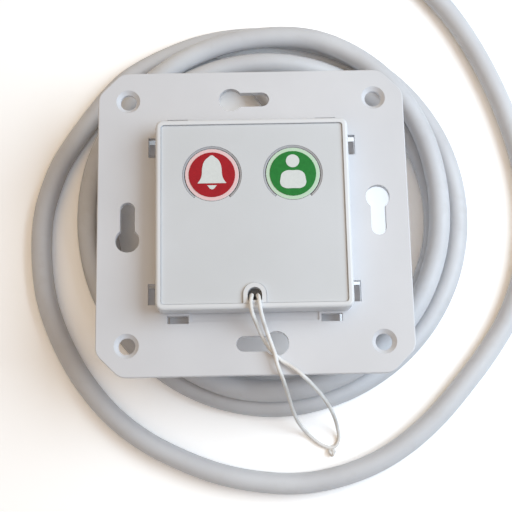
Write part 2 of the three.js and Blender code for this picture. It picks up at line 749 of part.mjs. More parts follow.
function cableClamp() {
  const top = RELIEF_Z + CABLE_RADIUS + CABLE_GAP + 1.2;
  const block = box(reliefX - 4.2, reliefX + 4.2, jacketEnd + 1, jacketEnd + 4, BOX_FLOOR, top);
  return block.subtract(rodAlongY(CABLE_RADIUS + CABLE_GAP, 0, boxOuter, reliefX, RELIEF_Z));
}

add("cable_clamp", cableClamp(), "shell");
add("cable_entry", rodAlongY(CABLE_RADIUS, jacketEnd, sleeveEnd, reliefX, RELIEF_Z, 16), "cable");

function terminalBlock() {
  const x0 = reliefX - TERMINAL_LENGTH * 0.7;
  const y1 = jacketEnd - 5;
  const under = boardUnder - TERMINAL_HEIGHT;
  return box(x0, x0 + TERMINAL_LENGTH, y1 - TERMINAL_WIDTH, y1, under, boardUnder);
}

add("terminal_block", terminalBlock(), "clear");

const coresTop = boardUnder - TERMINAL_HEIGHT - 0.9;
const coreRoute = [
  [reliefX, jacketEnd - 0.3, RELIEF_Z],
  [reliefX, jacketEnd - 4, RELIEF_Z + 0.8],
  [reliefX - 1, jacketEnd - 7, coresTop - 3.8],
  [reliefX - 1.4, jacketEnd - 7.8, coresTop - 1.8],
  [reliefX - 1.4, jacketEnd - 7.8, coresTop],
];
add("cable_cores", tube(coreRoute, 1.5, 8, 8), "cable");

// Data cable: it winds round the back box under the plate, then runs out in one wide loop
const WINDING_X = 4;
const WINDING_Y = 7;
const windings = [
  { angle: 111, radius: 44.6, height: 2.75 },
  { angle: 180, radius: 42.3, height: 2.75 },
  { angle: 270, radius: 44.0, height: 2.75 },
  { angle: 360, radius: 44.2, height: 2.75 },
  { angle: 390, radius: 43.9, height: 2.75 },
  { angle: 420, radius: 42.4, height: 4.6 },
  { angle: 450, radius: 40.2, height: 8.9 },
  { angle: 540, radius: 41.7, height: 8.6 },
  { angle: 630, radius: 46.8, height: 7.9 },
  { angle: 720, radius: 44.5, height: 8.5 },
  { angle: 792, radius: 48.8, height: 8.5 },
  { angle: 830, radius: 46.9, height: 8.5 },
  { angle: 870, radius: 46.9, height: 7.1 },
  { angle: 900, radius: 47.2, height: 5.4 },
  { angle: 945, radius: 48.8, height: 2.8 },
  { angle: 990, radius: 50.3, height: 2.75 },
  { angle: 1080, radius: 50.3, height: 2.75 },
  { angle: 1170, radius: 50.3, height: 2.75 },
  { angle: 1190, radius: 51.4, height: 2.75 },
  { angle: 1220, radius: 54.0, height: 2.75 },
];
const WINDING_STEP = 22;

// Radius and height at an angle, eased between the stations on both sides of it
function easedStation(stations, angle) {
  const next = Math.max(1, stations.findIndex((station) => station.angle >= angle));
  const [before, after] = [stations[next - 1], stations[next]];
  const share = (angle - before.angle) / (after.angle - before.angle);
  const eased = (1 - Math.cos(Math.PI * share)) / 2;
  return {
    radius: before.radius + (after.radius - before.radius) * eased,
    height: before.height + (after.height - before.height) * eased,
  };
}

function windingPoint(angle) {
  const { radius, height } = easedStation(windings, angle);
  const turn = (angle * Math.PI) / 180;
  return [WINDING_X + radius * Math.cos(turn), WINDING_Y + radius * Math.sin(turn), height];
}

const cableStart = [
  [reliefX, sleeveEnd + CABLE_GAP, RELIEF_Z],
  [reliefX - 0.1, sleeveEnd + 2.6, RELIEF_Z - 0.2],
  [6.6, 35.6, 5.4],
  [2.9, 42.0, 3.6],
  [-3.4, 46.9, 2.8],
];
const cableLoop = [
  [-49.8, 24.1, 2.75],
  [-52.9, 17.0, 2.75],
  [-55.2, 8.0, 2.75],
  [-55.5, -3.0, 2.75],
  [-54.0, -14.2, 2.75],
  [-50.6, -24.0, 2.75],
  [-44.6, -35.0, 2.75],
  [-37.0, -44.3, 2.75],
  [-28.6, -51.0, 2.75],
  [-19.2, -56.0, 2.75],
  [-8.9, -59.9, 2.75],
  [1.8, -62.0, 2.75],
  [11.5, -62.4, 2.75],
  [21.0, -60.8, 2.75],
  [30.0, -57.6, 2.75],
  [38.5, -52.6, 2.75],
  [46.5, -45.8, 2.75],
  [53.5, -38.2, 2.75],
  [59.6, -30.8, 2.75],
  [65.2, -22.6, 2.75],
  [69.8, -12.4, 2.75],
  [72.6, -1.0, 2.75],
  [73.4, 11.0, 2.75],
  [71.7, 24.0, 2.75],
  [68.4, 36.5, 2.75],
  [64.7, 46.5, 2.75],
  [60.3, 56.0, 2.75],
  [55.8, 63.6, 2.75],
  [52.5, 68.0, 2.75],
  [49.7, 71.7, 2.75],
  [45.9, 78.0, 2.75],
];

const windingPoints = [];
for (let angle = windings[0].angle; angle < windings.at(-1).angle; angle += WINDING_STEP) {
  windingPoints.push(windingPoint(angle));
}
const cableRoute = [...cableStart, ...windingPoints, windingPoint(windings.at(-1).angle), ...cableLoop];
add("data_cable", tube(cableRoute, CABLE_RADIUS, 118, 8), "cable");

// The rest of the cable: a neat coil of four turns with a tie, and a tail with its plug

function cableCoil() {
  const inner = COIL_RADIUS - COIL_SIDE / 2;
  const outer = COIL_RADIUS + COIL_SIDE / 2;
  const soft = CABLE_RADIUS * 0.7;
  const z0 = COIL_LIFT;
  const z1 = COIL_LIFT + COIL_SIDE;
  const section = [
    [inner + soft, z0],
    [outer - soft, z0],
    [outer, z0 + soft],
    [outer, z1 - soft],
    [outer - soft, z1],
    [inner + soft, z1],
    [inner, z1 - soft],
    [inner, z0 + soft],
    [inner + soft, z0],
  ];
  const profile = section.map(([r, z]) => new THREE.Vector2(r, z));
  return solid(new THREE.LatheGeometry(profile, 36).rotateX(Math.PI / 2)).translate([COIL_X, COIL_Y, 0]);
}

add("cable_coil", cableCoil(), "cable");

function coilTie() {
  const x = COIL_X + COIL_RADIUS;
  const half = COIL_SIDE / 2 + TIE_GAP;
  const thick = half + TIE_THICKNESS;
  const z = COIL_LIFT + COIL_SIDE / 2;
  const y0 = COIL_Y - TIE_WIDTH / 2;
  const y1 = COIL_Y + TIE_WIDTH / 2;
  const band = box(x - thick, x + thick, y0, y1, z - thick, z + thick);
  return band.subtract(box(x - half - 0.1, x + half + 0.1, y0 - 1, y1 + 1, z - half, z + half));
}

add("coil_tie", coilTie(), "black");

// The tail hugs the coil's outside, clockwise, and humps over the incoming cable on its way to
// the plug beside the coil's far side
const TAIL_END = 100;
const tailRadius = COIL_RADIUS + COIL_SIDE / 2 + BOOT_RADIUS + 0.6;

function aroundCoil(angle, radius, height) {
  const turn = (angle * Math.PI) / 180;
  return [COIL_X + radius * Math.cos(turn), COIL_Y + radius * Math.sin(turn), height];
}

const tailStations = [
  { angle: 32, radius: 38.9, height: 4.6 },
  { angle: 50, radius: 40.3, height: 2.8 },
  { angle: 70, radius: 40.3, height: 2.8 },
  { angle: 108, radius: 40.4, height: 8.7 },
  { angle: 126, radius: 40.4, height: 8.5 },
  { angle: 160, radius: 40.3, height: 2.8 },
  { angle: 260, radius: 40.3, height: 2.8 },
];
const TAIL_STEP = 12;
const tailPoints = [];
for (let angle = tailStations[0].angle; angle <= tailStations.at(-1).angle; angle += TAIL_STEP) {
  const { radius, height } = easedStation(tailStations, angle);
  tailPoints.push(aroundCoil(-angle, radius, height));
}
add("cable_tail", tube(tailPoints, CABLE_RADIUS, 30, 8), "cable");

// Plug: boot, clear body, spring latch on its upper side and a row of contacts at its nose.
// It is made along +X from the cable's end, then laid on the line of the tail.

function plugBoot() {
  const boot = rodAlongY(CABLE_RADIUS + 0.5, 0.4, BOOT_LENGTH, 0, 0, 16, BOOT_RADIUS);
  return boot.rotate([0, 0, -90]);
}

function plugBody() {
  const half = PLUG_WIDTH / 2;
  const z0 = -PLUG_HEIGHT / 2;
  const z1 = PLUG_HEIGHT / 2;
  const start = BOOT_LENGTH + 0.3;
  const body = box(start, start + PLUG_LENGTH, -half, half, z0, z1);
  const nose = start + PLUG_LENGTH;
  const slots = contactPlaces().map((y) => box(nose - 6, nose + 1, y - 0.32, y + 0.32, z0 - 1, z0 + 1.9));
  return cutAll(body, slots);
}

function contactPlaces() {
  return Array.from({ length: PLUG_CONTACTS }, (_, i) => (i - contactRow / 2) * CONTACT_PITCH);
}

function plugContact(y) {
  const nose = BOOT_LENGTH + 0.3 + PLUG_LENGTH;
  return box(nose - 5.7, nose - 0.3, y - 0.17, y + 0.17, -PLUG_HEIGHT / 2 + 0.3, -PLUG_HEIGHT / 2 + 1.7);
}

function plugLatch() {
  const nose = BOOT_LENGTH + 0.3 + PLUG_LENGTH;
  const lift = PLUG_HEIGHT / 2 + LATCH_GAP;
  const root = box(nose - 2.6, nose - 0.8, -1.6, 1.6, lift, lift + 1);
  const tongue = box(-LATCH_LENGTH, 0, -1.6, 1.6, 0, 0.9).rotate([0, 8, 0]);
  return root.add(tongue.translate([nose - 1.4, 0, lift + 0.1]));
}

const tailHeading = TAIL_END - 90 + 1;
function onTail(body) {
  const [x, y] = aroundCoil(TAIL_END - 0.5, tailRadius, 0);
  return body.rotate([0, 0, tailHeading]).translate([x, y, PLUG_HEIGHT / 2 + 0.75]);
}

add("plug_boot", onTail(plugBoot()), "cable");
add("plug_body", onTail(plugBody()), "clear");
add("plug_latch", onTail(plugLatch()), "clear");
contactPlaces().forEach((y, i) => add(`plug_contact_${i + 1}`, onTail(plugContact(y)), "gold"));

export default group;
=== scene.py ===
# A nurse call wall module lying on a white table: a square mounting plate with a clip-in call
# unit, its pull cord, and the round data cable that is wound up below the plate.
import math

import bmesh
import bpy
from mathutils import Matrix, Vector


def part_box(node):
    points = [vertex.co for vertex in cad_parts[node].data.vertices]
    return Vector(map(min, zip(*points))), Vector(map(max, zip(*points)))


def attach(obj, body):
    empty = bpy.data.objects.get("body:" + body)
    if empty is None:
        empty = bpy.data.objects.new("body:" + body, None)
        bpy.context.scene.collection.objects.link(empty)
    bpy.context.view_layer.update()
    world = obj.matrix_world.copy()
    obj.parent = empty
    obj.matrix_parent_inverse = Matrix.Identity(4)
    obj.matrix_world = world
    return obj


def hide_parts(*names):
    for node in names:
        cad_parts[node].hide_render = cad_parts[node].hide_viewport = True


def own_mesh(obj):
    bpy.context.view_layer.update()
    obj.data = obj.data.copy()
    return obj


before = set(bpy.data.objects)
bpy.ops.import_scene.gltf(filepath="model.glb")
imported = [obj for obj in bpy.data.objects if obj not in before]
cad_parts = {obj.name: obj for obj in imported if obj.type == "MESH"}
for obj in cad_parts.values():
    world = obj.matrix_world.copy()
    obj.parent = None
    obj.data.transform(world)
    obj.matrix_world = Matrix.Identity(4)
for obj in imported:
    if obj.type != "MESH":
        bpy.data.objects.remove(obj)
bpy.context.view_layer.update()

# Photographer's view
# The module is seen from above and a little from its lower edge, from about 25 cm away, with
# the longer lens of a phone. The camera's axes follow the plate's screw holes.
MM = 0.001
VIEW_FROM = Vector((-1.342, -55.495, 246.999)) * MM
VIEW_RIGHT = Vector((0.999794, -0.019859, 0.004178))
VIEW_UP = Vector((0.018573, 0.978364, 0.206057))
VIEW_BACK = Vector((-0.008179, -0.205937, 0.978531))
SENSOR_WIDTH = 36.0
FRAME_PIXELS = 512
FOCAL_PIXELS = 950
NEAREST, FARTHEST = 0.01, 20

phone_data = bpy.data.cameras.new("phone")
phone_data.sensor_width = SENSOR_WIDTH
phone_data.lens = FOCAL_PIXELS / FRAME_PIXELS * SENSOR_WIDTH
phone_data.clip_start = NEAREST
phone_data.clip_end = FARTHEST
phone = bpy.data.objects.new("phone", phone_data)
turned = Matrix((VIEW_RIGHT, VIEW_UP, VIEW_BACK)).transposed()
phone.matrix_world = Matrix.Translation(VIEW_FROM) @ turned.to_4x4()
bpy.context.scene.collection.objects.link(phone)
bpy.context.scene.camera = phone
bpy.context.scene.view_settings.view_transform = "Standard"


# White table and window light
# A window stands to the right. The room's cool light comes from above, less and less towards
# the walls, and it is warm from the upper left. The table is plain white and keeps the shadows.
TABLE_HALF = 1.5
TABLE_DROP = 0.02 * MM
TABLE_WHITE = 0.88
TABLE_SEEN = 1.3
ROOM_LIGHT = (0.88, 1.00, 1.20)
ROOM_WARMTH = (1.14, 0.83, 0.49)
WARM_SIDE = (-0.85, 0.5, 0)
WARM_FROM, WARM_TO = -0.4, 0.2
ROOM_FALL = 2.0
WINDOW_COLOUR = (0.76, 0.89, 1.0)
WINDOW_PLACE = Vector((0.29, 0.05, 0.3))
WINDOW_AIM = Vector((0.0, 0.0, 0.02))
WINDOW_SIZE = (0.34, 0.28)
WINDOW_POWER = 1.45


def seen_directly(tree):
    """One where the camera, a gloss or a clear piece sees the surface, else nothing."""
    rays = tree.nodes.new("ShaderNodeLightPath")
    either = tree.nodes.new("ShaderNodeMath")
    either.operation = "MAXIMUM"
    tree.links.new(rays.outputs["Is Camera Ray"], either.inputs[0])
    tree.links.new(rays.outputs["Is Glossy Ray"], either.inputs[1])
    any_of_them = tree.nodes.new("ShaderNodeMath")
    any_of_them.operation = "MAXIMUM"
    tree.links.new(either.outputs[0], any_of_them.inputs[0])
    tree.links.new(rays.outputs["Is Transmission Ray"], any_of_them.inputs[1])
    return any_of_them.outputs[0]


def table_white():
    material = bpy.data.materials.new("table_white")
    material.use_nodes = True
    tree = material.node_tree
    tree.nodes.clear()
    shade = tree.nodes.new("ShaderNodeMapRange")
    shade.inputs["To Min"].default_value = TABLE_WHITE
    shade.inputs["To Max"].default_value = TABLE_SEEN
    tree.links.new(seen_directly(tree), shade.inputs["Value"])
    paint = tree.nodes.new("ShaderNodeBsdfDiffuse")
    tree.links.new(shade.outputs["Result"], paint.inputs["Color"])
    output = tree.nodes.new("ShaderNodeOutputMaterial")
    tree.links.new(paint.outputs["BSDF"], output.inputs["Surface"])
    return material


table_mesh = bpy.data.meshes.new("table")
table_mesh.from_pydata(
    [(x, y, -TABLE_DROP) for x in (-TABLE_HALF, TABLE_HALF) for y in (-TABLE_HALF, TABLE_HALF)],
    [],
    [(0, 2, 3, 1)],
)
table_mesh.materials.append(table_white())
table = bpy.data.objects.new("table", table_mesh)
bpy.context.scene.collection.objects.link(table)


def room_light():
    """Light that falls off towards the walls, cool with a warm side, and seen as plain white."""
    room = bpy.data.worlds.new("room")
    room.use_nodes = True
    tree = room.node_tree
    tree.nodes.clear()
    lit = tree.nodes.new("ShaderNodeBackground")
    towards = tree.nodes.new("ShaderNodeTexCoord")
    split = tree.nodes.new("ShaderNodeSeparateXYZ")
    above = tree.nodes.new("ShaderNodeMath")
    above.operation = "MAXIMUM"
    above.inputs[1].default_value = 0
    fall = tree.nodes.new("ShaderNodeMath")
    fall.operation = "POWER"
    fall.inputs[1].default_value = ROOM_FALL
    tree.links.new(towards.outputs["Generated"], split.inputs[0])
    tree.links.new(split.outputs["Z"], above.inputs[0])
    tree.links.new(above.outputs[0], fall.inputs[0])
    tree.links.new(fall.outputs[0], lit.inputs["Strength"])
    warm_side = tree.nodes.new("ShaderNodeVectorMath")
    warm_side.operation = "DOT_PRODUCT"
    warm_side.inputs[1].default_value = WARM_SIDE
    warm_share = tree.nodes.new("ShaderNodeMapRange")
    warm_share.interpolation_type = "SMOOTHSTEP"
    warm_share.inputs["From Min"].default_value = WARM_FROM
    warm_share.inputs["From Max"].default_value = WARM_TO
    warmth = tree.nodes.new("ShaderNodeMix")
    warmth.data_type = "RGBA"
    warmth.inputs["A"].default_value = (*ROOM_LIGHT, 1)
    warmth.inputs["B"].default_value = (*ROOM_WARMTH, 1)
    tree.links.new(towards.outputs["Generated"], warm_side.inputs[0])
    tree.links.new(warm_side.outputs["Value"], warm_share.inputs["Value"])
    tree.links.new(warm_share.outputs["Result"], warmth.inputs["Factor"])
    tree.links.new(warmth.outputs["Result"], lit.inputs["Color"])
    seen = tree.nodes.new("ShaderNodeBackground")
    seen.inputs["Color"].default_value = (1, 1, 1, 1)
    either = tree.nodes.new("ShaderNodeMixShader")
    output = tree.nodes.new("ShaderNodeOutputWorld")
    tree.links.new(seen_directly(tree), either.inputs[0])
    tree.links.new(lit.outputs[0], either.inputs[1])
    tree.links.new(seen.outputs[0], either.inputs[2])
    tree.links.new(either.outputs[0], output.inputs["Surface"])
    return room


bpy.context.scene.world = room_light()

window_data = bpy.data.lights.new("window", "AREA")
window_data.shape = "RECTANGLE"
window_data.size, window_data.size_y = WINDOW_SIZE
window_data.energy = WINDOW_POWER
window_data.color = WINDOW_COLOUR
window = bpy.data.objects.new("window", window_data)
window.location = WINDOW_PLACE
window.rotation_euler = (WINDOW_AIM - WINDOW_PLACE).to_track_quat("-Z", "Y").to_euler()
bpy.context.scene.collection.objects.link(window)


# Data cable
# A round screened cable in a light grey PVC jacket, 5.4 mm thick. It leaves the back box at
# its upper wall, lies in three turns under the plate and in one wide loop, and the rest is
# wound to a neat coil with a plug at its end.
CABLE_DIAMETER = 5.4 * MM
CABLE_SPACING = 1.6 * MM
CABLE_ROUNDNESS = 6
SLEEVE_END = (8, 28.9, 6.5)
JACKET_START = [(8, 12.0, 6.5), (8, 20.0, 6.5), (8, 28.9, 6.5)]
CABLE_START = [(7.9, 31.5, 6.3), (6.6, 35.6, 5.4), (2.9, 42.0, 3.6), (-3.4, 46.9, 2.8)]
WINDING_CENTRE = (4, 7)
WINDING_STEP = 22
WINDINGS = [
    (111, 44.6, 2.75),
    (180, 42.3, 2.75),
    (270, 44.0, 2.75),
    (360, 44.2, 2.75),
    (390, 43.9, 2.75),
    (420, 42.4, 4.6),
    (450, 40.2, 8.9),
    (540, 41.7, 8.6),
    (630, 46.8, 7.9),
    (720, 44.5, 8.5),
    (792, 48.8, 8.5),
    (830, 46.9, 8.5),
    (870, 46.9, 7.1),
    (900, 47.2, 5.4),
    (945, 48.8, 2.8),
    (990, 50.3, 2.75),
    (1080, 50.3, 2.75),
    (1170, 50.3, 2.75),
    (1190, 51.4, 2.75),
    (1220, 54.0, 2.75),
]
CABLE_LOOP = [
    (-49.8, 24.1, 2.75),
    (-52.9, 17.0, 2.75),
    (-55.2, 8.0, 2.75),
    (-55.5, -3.0, 2.75),
    (-54.0, -14.2, 2.75),
    (-50.6, -24.0, 2.75),
    (-44.6, -35.0, 2.75),
    (-37.0, -44.3, 2.75),
    (-28.6, -51.0, 2.75),
    (-19.2, -56.0, 2.75),
    (-8.9, -59.9, 2.75),
    (1.8, -62.0, 2.75),
    (11.5, -62.4, 2.75),
    (21.0, -60.8, 2.75),
    (30.0, -57.6, 2.75),
    (38.5, -52.6, 2.75),
    (46.5, -45.8, 2.75),
    (53.5, -38.2, 2.75),
    (59.6, -30.8, 2.75),
    (65.2, -22.6, 2.75),
    (69.8, -12.4, 2.75),
    (72.6, -1.0, 2.75),
    (73.4, 11.0, 2.75),
    (71.7, 24.0, 2.75),
    (68.4, 36.5, 2.75),
    (64.7, 46.5, 2.75),
    (60.3, 56.0, 2.75),
    (55.8, 63.6, 2.75),
    (52.5, 68.0, 2.75),
    (49.7, 71.7, 2.75),
    (45.9, 78.0, 2.75),
    (41.3, 86.9, 2.8),
]
COIL_CENTRE = (64, 113.5)
COIL_STEP = 12
# Stations of the coil and its tail: angle round the coil's centre, radius and height
COIL_STATIONS = [
    (210, 32.8, 3.45),
    (-85, 32.8, 3.45),
    (-125, 27.2, 3.45),
    (-400, 27.2, 3.5),
    (-445, 27.2, 9.05),
    (-715, 27.2, 9.05),
    (-755, 32.8, 9.05),
    (-1082, 32.8, 9.0),
    (-1112, 38.9, 4.6),
    (-1130, 40.3, 2.8),
    (-1150, 40.3, 2.8),
    (-1188, 40.4, 8.7),
    (-1206, 40.4, 8.5),
    (-1240, 40.3, 2.8),
    (-1340.5, 40.3, 2.8),
]


def eased_round(stations, centre, step):
    """Points round a centre, with radius and height eased between the stations."""
    points = []
    for (a0, r0, z0), (a1, r1, z1) in zip(stations, stations[1:]):
        count = max(1, round(abs(a1 - a0) / step))
        for i in range(count):
            share = i / count
            eased = (1 - math.cos(math.pi * share)) / 2
            turn = math.radians(a0 + (a1 - a0) * share)
            radius = r0 + (r1 - r0) * eased
            x = centre[0] + radius * math.cos(turn)
            y = centre[1] + radius * math.sin(turn)
            points.append((x, y, z0 + (z1 - z0) * eased))
    angle, radius, height = stations[-1]
    turn = math.radians(angle)
    x = centre[0] + radius * math.cos(turn)
    points.append((x, centre[1] + radius * math.sin(turn), height))
    return points


def winding_points():
    """The windings at even steps of angle, as the solid model's cable has them."""
    points = []
    angle = WINDINGS[0][0]
    while angle < WINDINGS[-1][0]:
        place = next(i for i, station in enumerate(WINDINGS) if station[0] >= angle)
        (a0, r0, z0), (a1, r1, z1) = WINDINGS[max(1, place) - 1], WINDINGS[max(1, place)]
        eased = (1 - math.cos(math.pi * (angle - a0) / (a1 - a0))) / 2
        turn = math.radians(angle)
        radius = r0 + (r1 - r0) * eased
        x = WINDING_CENTRE[0] + radius * math.cos(turn)
        y = WINDING_CENTRE[1] + radius * math.sin(turn)
        points.append((x, y, z0 + (z1 - z0) * eased))
        angle += WINDING_STEP
    return points + eased_round(WINDINGS[-1:], WINDING_CENTRE, WINDING_STEP)


def smooth_line(points, spacing, finer=3):
    """Even points, in metres, on a smooth curve through points in millimetres."""
    knots = [Vector(p) * MM for p in points]
    knots = [2 * knots[0] - knots[1], *knots, 2 * knots[-1] - knots[-2]]
    dense = []
    for p0, p1, p2, p3 in zip(knots, knots[1:], knots[2:], knots[3:]):
        t1 = (p1 - p0).length ** 0.5
        t2 = t1 + (p2 - p1).length ** 0.5
        t3 = t2 + (p3 - p2).length ** 0.5
        count = max(2, math.ceil((p2 - p1).length / spacing * finer))
        for i in range(count):
            t = t1 + (t2 - t1) * i / count
            a1 = p0.lerp(p1, t / t1)
            a2 = p1.lerp(p2, (t - t1) / (t2 - t1))
            a3 = p2.lerp(p3, (t - t2) / (t3 - t2))
            b1 = a1.lerp(a2, t / t2)
            b2 = a2.lerp(a3, (t - t1) / (t3 - t1))
            dense.append(b1.lerp(b2, (t - t1) / (t2 - t1)))
    dense.append(knots[-2])
    even = [dense[0]]
    left = spacing
    for start, end in zip(dense, dense[1:]):
        gap = (end - start).length
        while gap >= left > 0:
            even.append(start.lerp(end, left / gap))
            start = even[-1]
            gap = (end - start).length
            left = spacing
        left -= gap
    if (dense[-1] - even[-1]).length < spacing / finer:
        even.pop()
    return even + [dense[-1]]


def line_length(points):
    return sum((b - a).length for a, b in zip(points, points[1:]))


def object_space(tree, scale=(1, 1, 1)):
    """The surface's own place, in metres times scale, as the start of every texture."""
    place = tree.nodes.new("ShaderNodeTexCoord")
    stretch = tree.nodes.new("ShaderNodeMapping")
    stretch.inputs["Scale"].default_value = scale
    tree.links.new(place.outputs["Object"], stretch.inputs["Vector"])
    return stretch.outputs["Vector"]


def speckle(tree, vector, scale, detail=3.0, roughness=0.5):
    """Cloudy noise, with about as many spots in a metre as its scale says."""
    noise = tree.nodes.new("ShaderNodeTexNoise")
    noise.inputs["Scale"].default_value = scale
    noise.inputs["Detail"].default_value = detail
    noise.inputs["Roughness"].default_value = roughness
    tree.links.new(vector, noise.inputs["Vector"])
    return noise.outputs["Fac"]


def spread(tree, value, low, high, start=0.3, end=0.7):
    """A texture's value brought from start..end to low..high."""
    ranged = tree.nodes.new("ShaderNodeMapRange")
    ranged.inputs["From Min"].default_value = start
    ranged.inputs["From Max"].default_value = end
    ranged.inputs["To Min"].default_value = low
    ranged.inputs["To Max"].default_value = high
    tree.links.new(value, ranged.inputs["Value"])
    return ranged.outputs["Result"]


def tint(tree, share, colour_a, colour_b):
    """A colour between two, by a texture's share."""
    mix = tree.nodes.new("ShaderNodeMix")
    mix.data_type = "RGBA"
    for socket, colour in ((mix.inputs["A"], colour_a), (mix.inputs["B"], colour_b)):
        if isinstance(colour, tuple):
            socket.default_value = (*colour, 1)
        else:
            tree.links.new(colour, socket)
    tree.links.new(share, mix.inputs["Factor"])
    return mix.outputs["Result"]


def relief(tree, height, depth, strength=1.0, under=None):
    """Fine bumps of a texture's height, laid over coarser ones."""
    bump = tree.nodes.new("ShaderNodeBump")
    bump.inputs["Strength"].default_value = strength
    bump.inputs["Distance"].default_value = depth
    tree.links.new(height, bump.inputs["Height"])
    if under is not None:
        tree.links.new(under, bump.inputs["Normal"])
    return bump.outputs["Normal"]


def srgb(red, green, blue):
    """A colour as seen on a screen, from 0 to 255, in the renderer's own numbers."""
    return tuple(
        c / 12.92 if c <= 0.04045 else ((c + 0.055) / 1.055) ** 2.4
        for c in (red / 255, green / 255, blue / 255)
    )


def bare_finish(name):
    """A new material, with its node tree and its principled shader."""
    material = bpy.data.materials.new(name)
    material.use_nodes = True
    tree = material.node_tree
    return material, tree, tree.nodes["Principled BSDF"]


def cable_jacket():
    """Satin grey PVC: faint long flow marks, a slow cloudiness and fine pitting."""
    material, tree, shader = bare_finish("cable_jacket")
    cloud = speckle(tree, object_space(tree), 55, 4)
    colour = tint(tree, spread(tree, cloud, 0, 1), srgb(204, 204, 207), srgb(215, 216, 219))
    handled = speckle(tree, object_space(tree), 210, 5, 0.6)
    colour = tint(tree, spread(tree, handled, 0, 0.35, 0.55, 0.8), colour, srgb(193, 190, 188))
    tree.links.new(colour, shader.inputs["Base Color"])
    rough = spread(tree, speckle(tree, object_space(tree), 420, 3), 0.42, 0.56)
    tree.links.new(rough, shader.inputs["Roughness"])
    pits = speckle(tree, object_space(tree), 2600, 2)
    tree.links.new(relief(tree, pits, 0.012 * MM, 0.35), shader.inputs["Normal"])
    shader.inputs["Subsurface Weight"].default_value = 0.05
    shader.inputs["Subsurface Radius"].default_value = (1.2 * MM, 1.0 * MM, 0.8 * MM)
    shader.inputs["Subsurface Scale"].default_value = 1.0
    return material


jacket = cable_jacket()
cable_route = smooth_line(
    [
        *JACKET_START,
        *CABLE_START,
        *winding_points(),
        *CABLE_LOOP,
        *eased_round(COIL_STATIONS, COIL_CENTRE, COIL_STEP),
    ],
    CABLE_SPACING,
)
cable_curve = bpy.data.curves.new("screened_cable", "CURVE")
cable_curve.dimensions = "3D"
cable_curve.bevel_depth = CABLE_DIAMETER / 2
cable_curve.bevel_resolution = CABLE_ROUNDNESS
cable_curve.use_fill_caps = True
cable_spline = cable_curve.splines.new("POLY")
cable_spline.points.add(len(cable_route) - 1)
for point, place in zip(cable_spline.points, cable_route):
    point.co = (*place, 1)
cable_spline.use_smooth = True
cable_curve.materials.append(jacket)
screened_cable = bpy.data.objects.new("screened_cable", cable_curve)
bpy.context.scene.collection.objects.link(screened_cable)
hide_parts("data_cable", "cable_entry", "cable_coil", "cable_tail")
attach(screened_cable, "base")
print("cable length", round(line_length(cable_route), 4))


# Pull cord
# A thin white cord of three yarns twisted together. It is knotted behind the face, comes out
# of the eyelet twice, lies over the plate and the cable, and ends in a small knotted loop.
PULL_CORD_DIAMETER = 1.0 * MM
PULL_CORD_SPACING = 0.25 * MM
YARN_PITCH = 2.6 * MM
YARN_LOBES = 3
YARN_SIDES = 18
YARN_DEPTH = 0.16
EYELET_Y = -19.4
KNOT_TOP = 27.7
FACE_UNDER = 31.15
PULL_CORD_ROUTE = [
    (-0.62, EYELET_Y, KNOT_TOP),
    (-0.62, EYELET_Y, FACE_UNDER),
    (-0.75, -19.9, 33.6),
    (-1.0, -21.6, 34.35),
    (-0.7, -23.7, 33.9),
    (0.3, -26.0, 31.4),
    (1.4, -28.2, 28.9),
    (2.7, -30.4, 27.75),
    (4.1, -32.3, 27.65),
    (5.8, -34.0, 27.7),
    (9.0, -36.2, 28.0),
    (10.9, -37.8, 27.5),
    (13.0, -39.3, 23.2),
    (16.0, -41.9, 16.4),
    (18.6, -45.0, 9.6),
    (20.4, -48.6, 2.8),
    (20.9, -51.4, 0.75),
    (20.2, -53.2, 0.6),
    (18.9, -53.8, 0.6),
    (16.4, -53.0, 0.65),
    (13.2, -50.5, 1.0),
    (10.9, -48.0, 4.6),
    (9.3, -45.4, 9.0),
    (8.1, -42.4, 13.8),
    (7.0, -39.9, 20.6),
    (6.1, -38.2, 26.6),
    (5.4, -36.6, 28.3),
    (4.8, -34.8, 28.8),
    (4.35, -32.7, 29.0),
    (3.5, -30.1, 29.2),
    (2.5, -27.3, 30.4),
    (1.6, -24.7, 33.1),
    (1.1, -22.4, 34.35),
    (0.85, -20.1, 33.75),
    (0.62, EYELET_Y, FACE_UNDER),
    (0.62, EYELET_Y, KNOT_TOP),
]


def join_rings(mesh, rings):
    """Faces between each ring of corners and the next."""
    for before, after in zip(rings, rings[1:]):
        for k in range(len(before)):
            j = (k + 1) % len(before)
            mesh.faces.new((before[k], before[j], after[j], after[k]))


def cap_ends(mesh, rings):
    """Flat faces that close a tube at its first and last ring."""
    mesh.faces.new(list(reversed(rings[0])))
    mesh.faces.new(rings[-1])


def link_piece(name, mesh, material, body):
    """A finished mesh as a named piece on a body."""
    bmesh.ops.recalc_face_normals(mesh, faces=mesh.faces)
    data = bpy.data.meshes.new(name)
    mesh.to_mesh(data)
    mesh.free()
    data.shade_smooth()
    data.materials.append(material)
    piece = bpy.data.objects.new(name, data)
    bpy.context.scene.collection.objects.link(piece)
    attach(piece, body)
    return piece


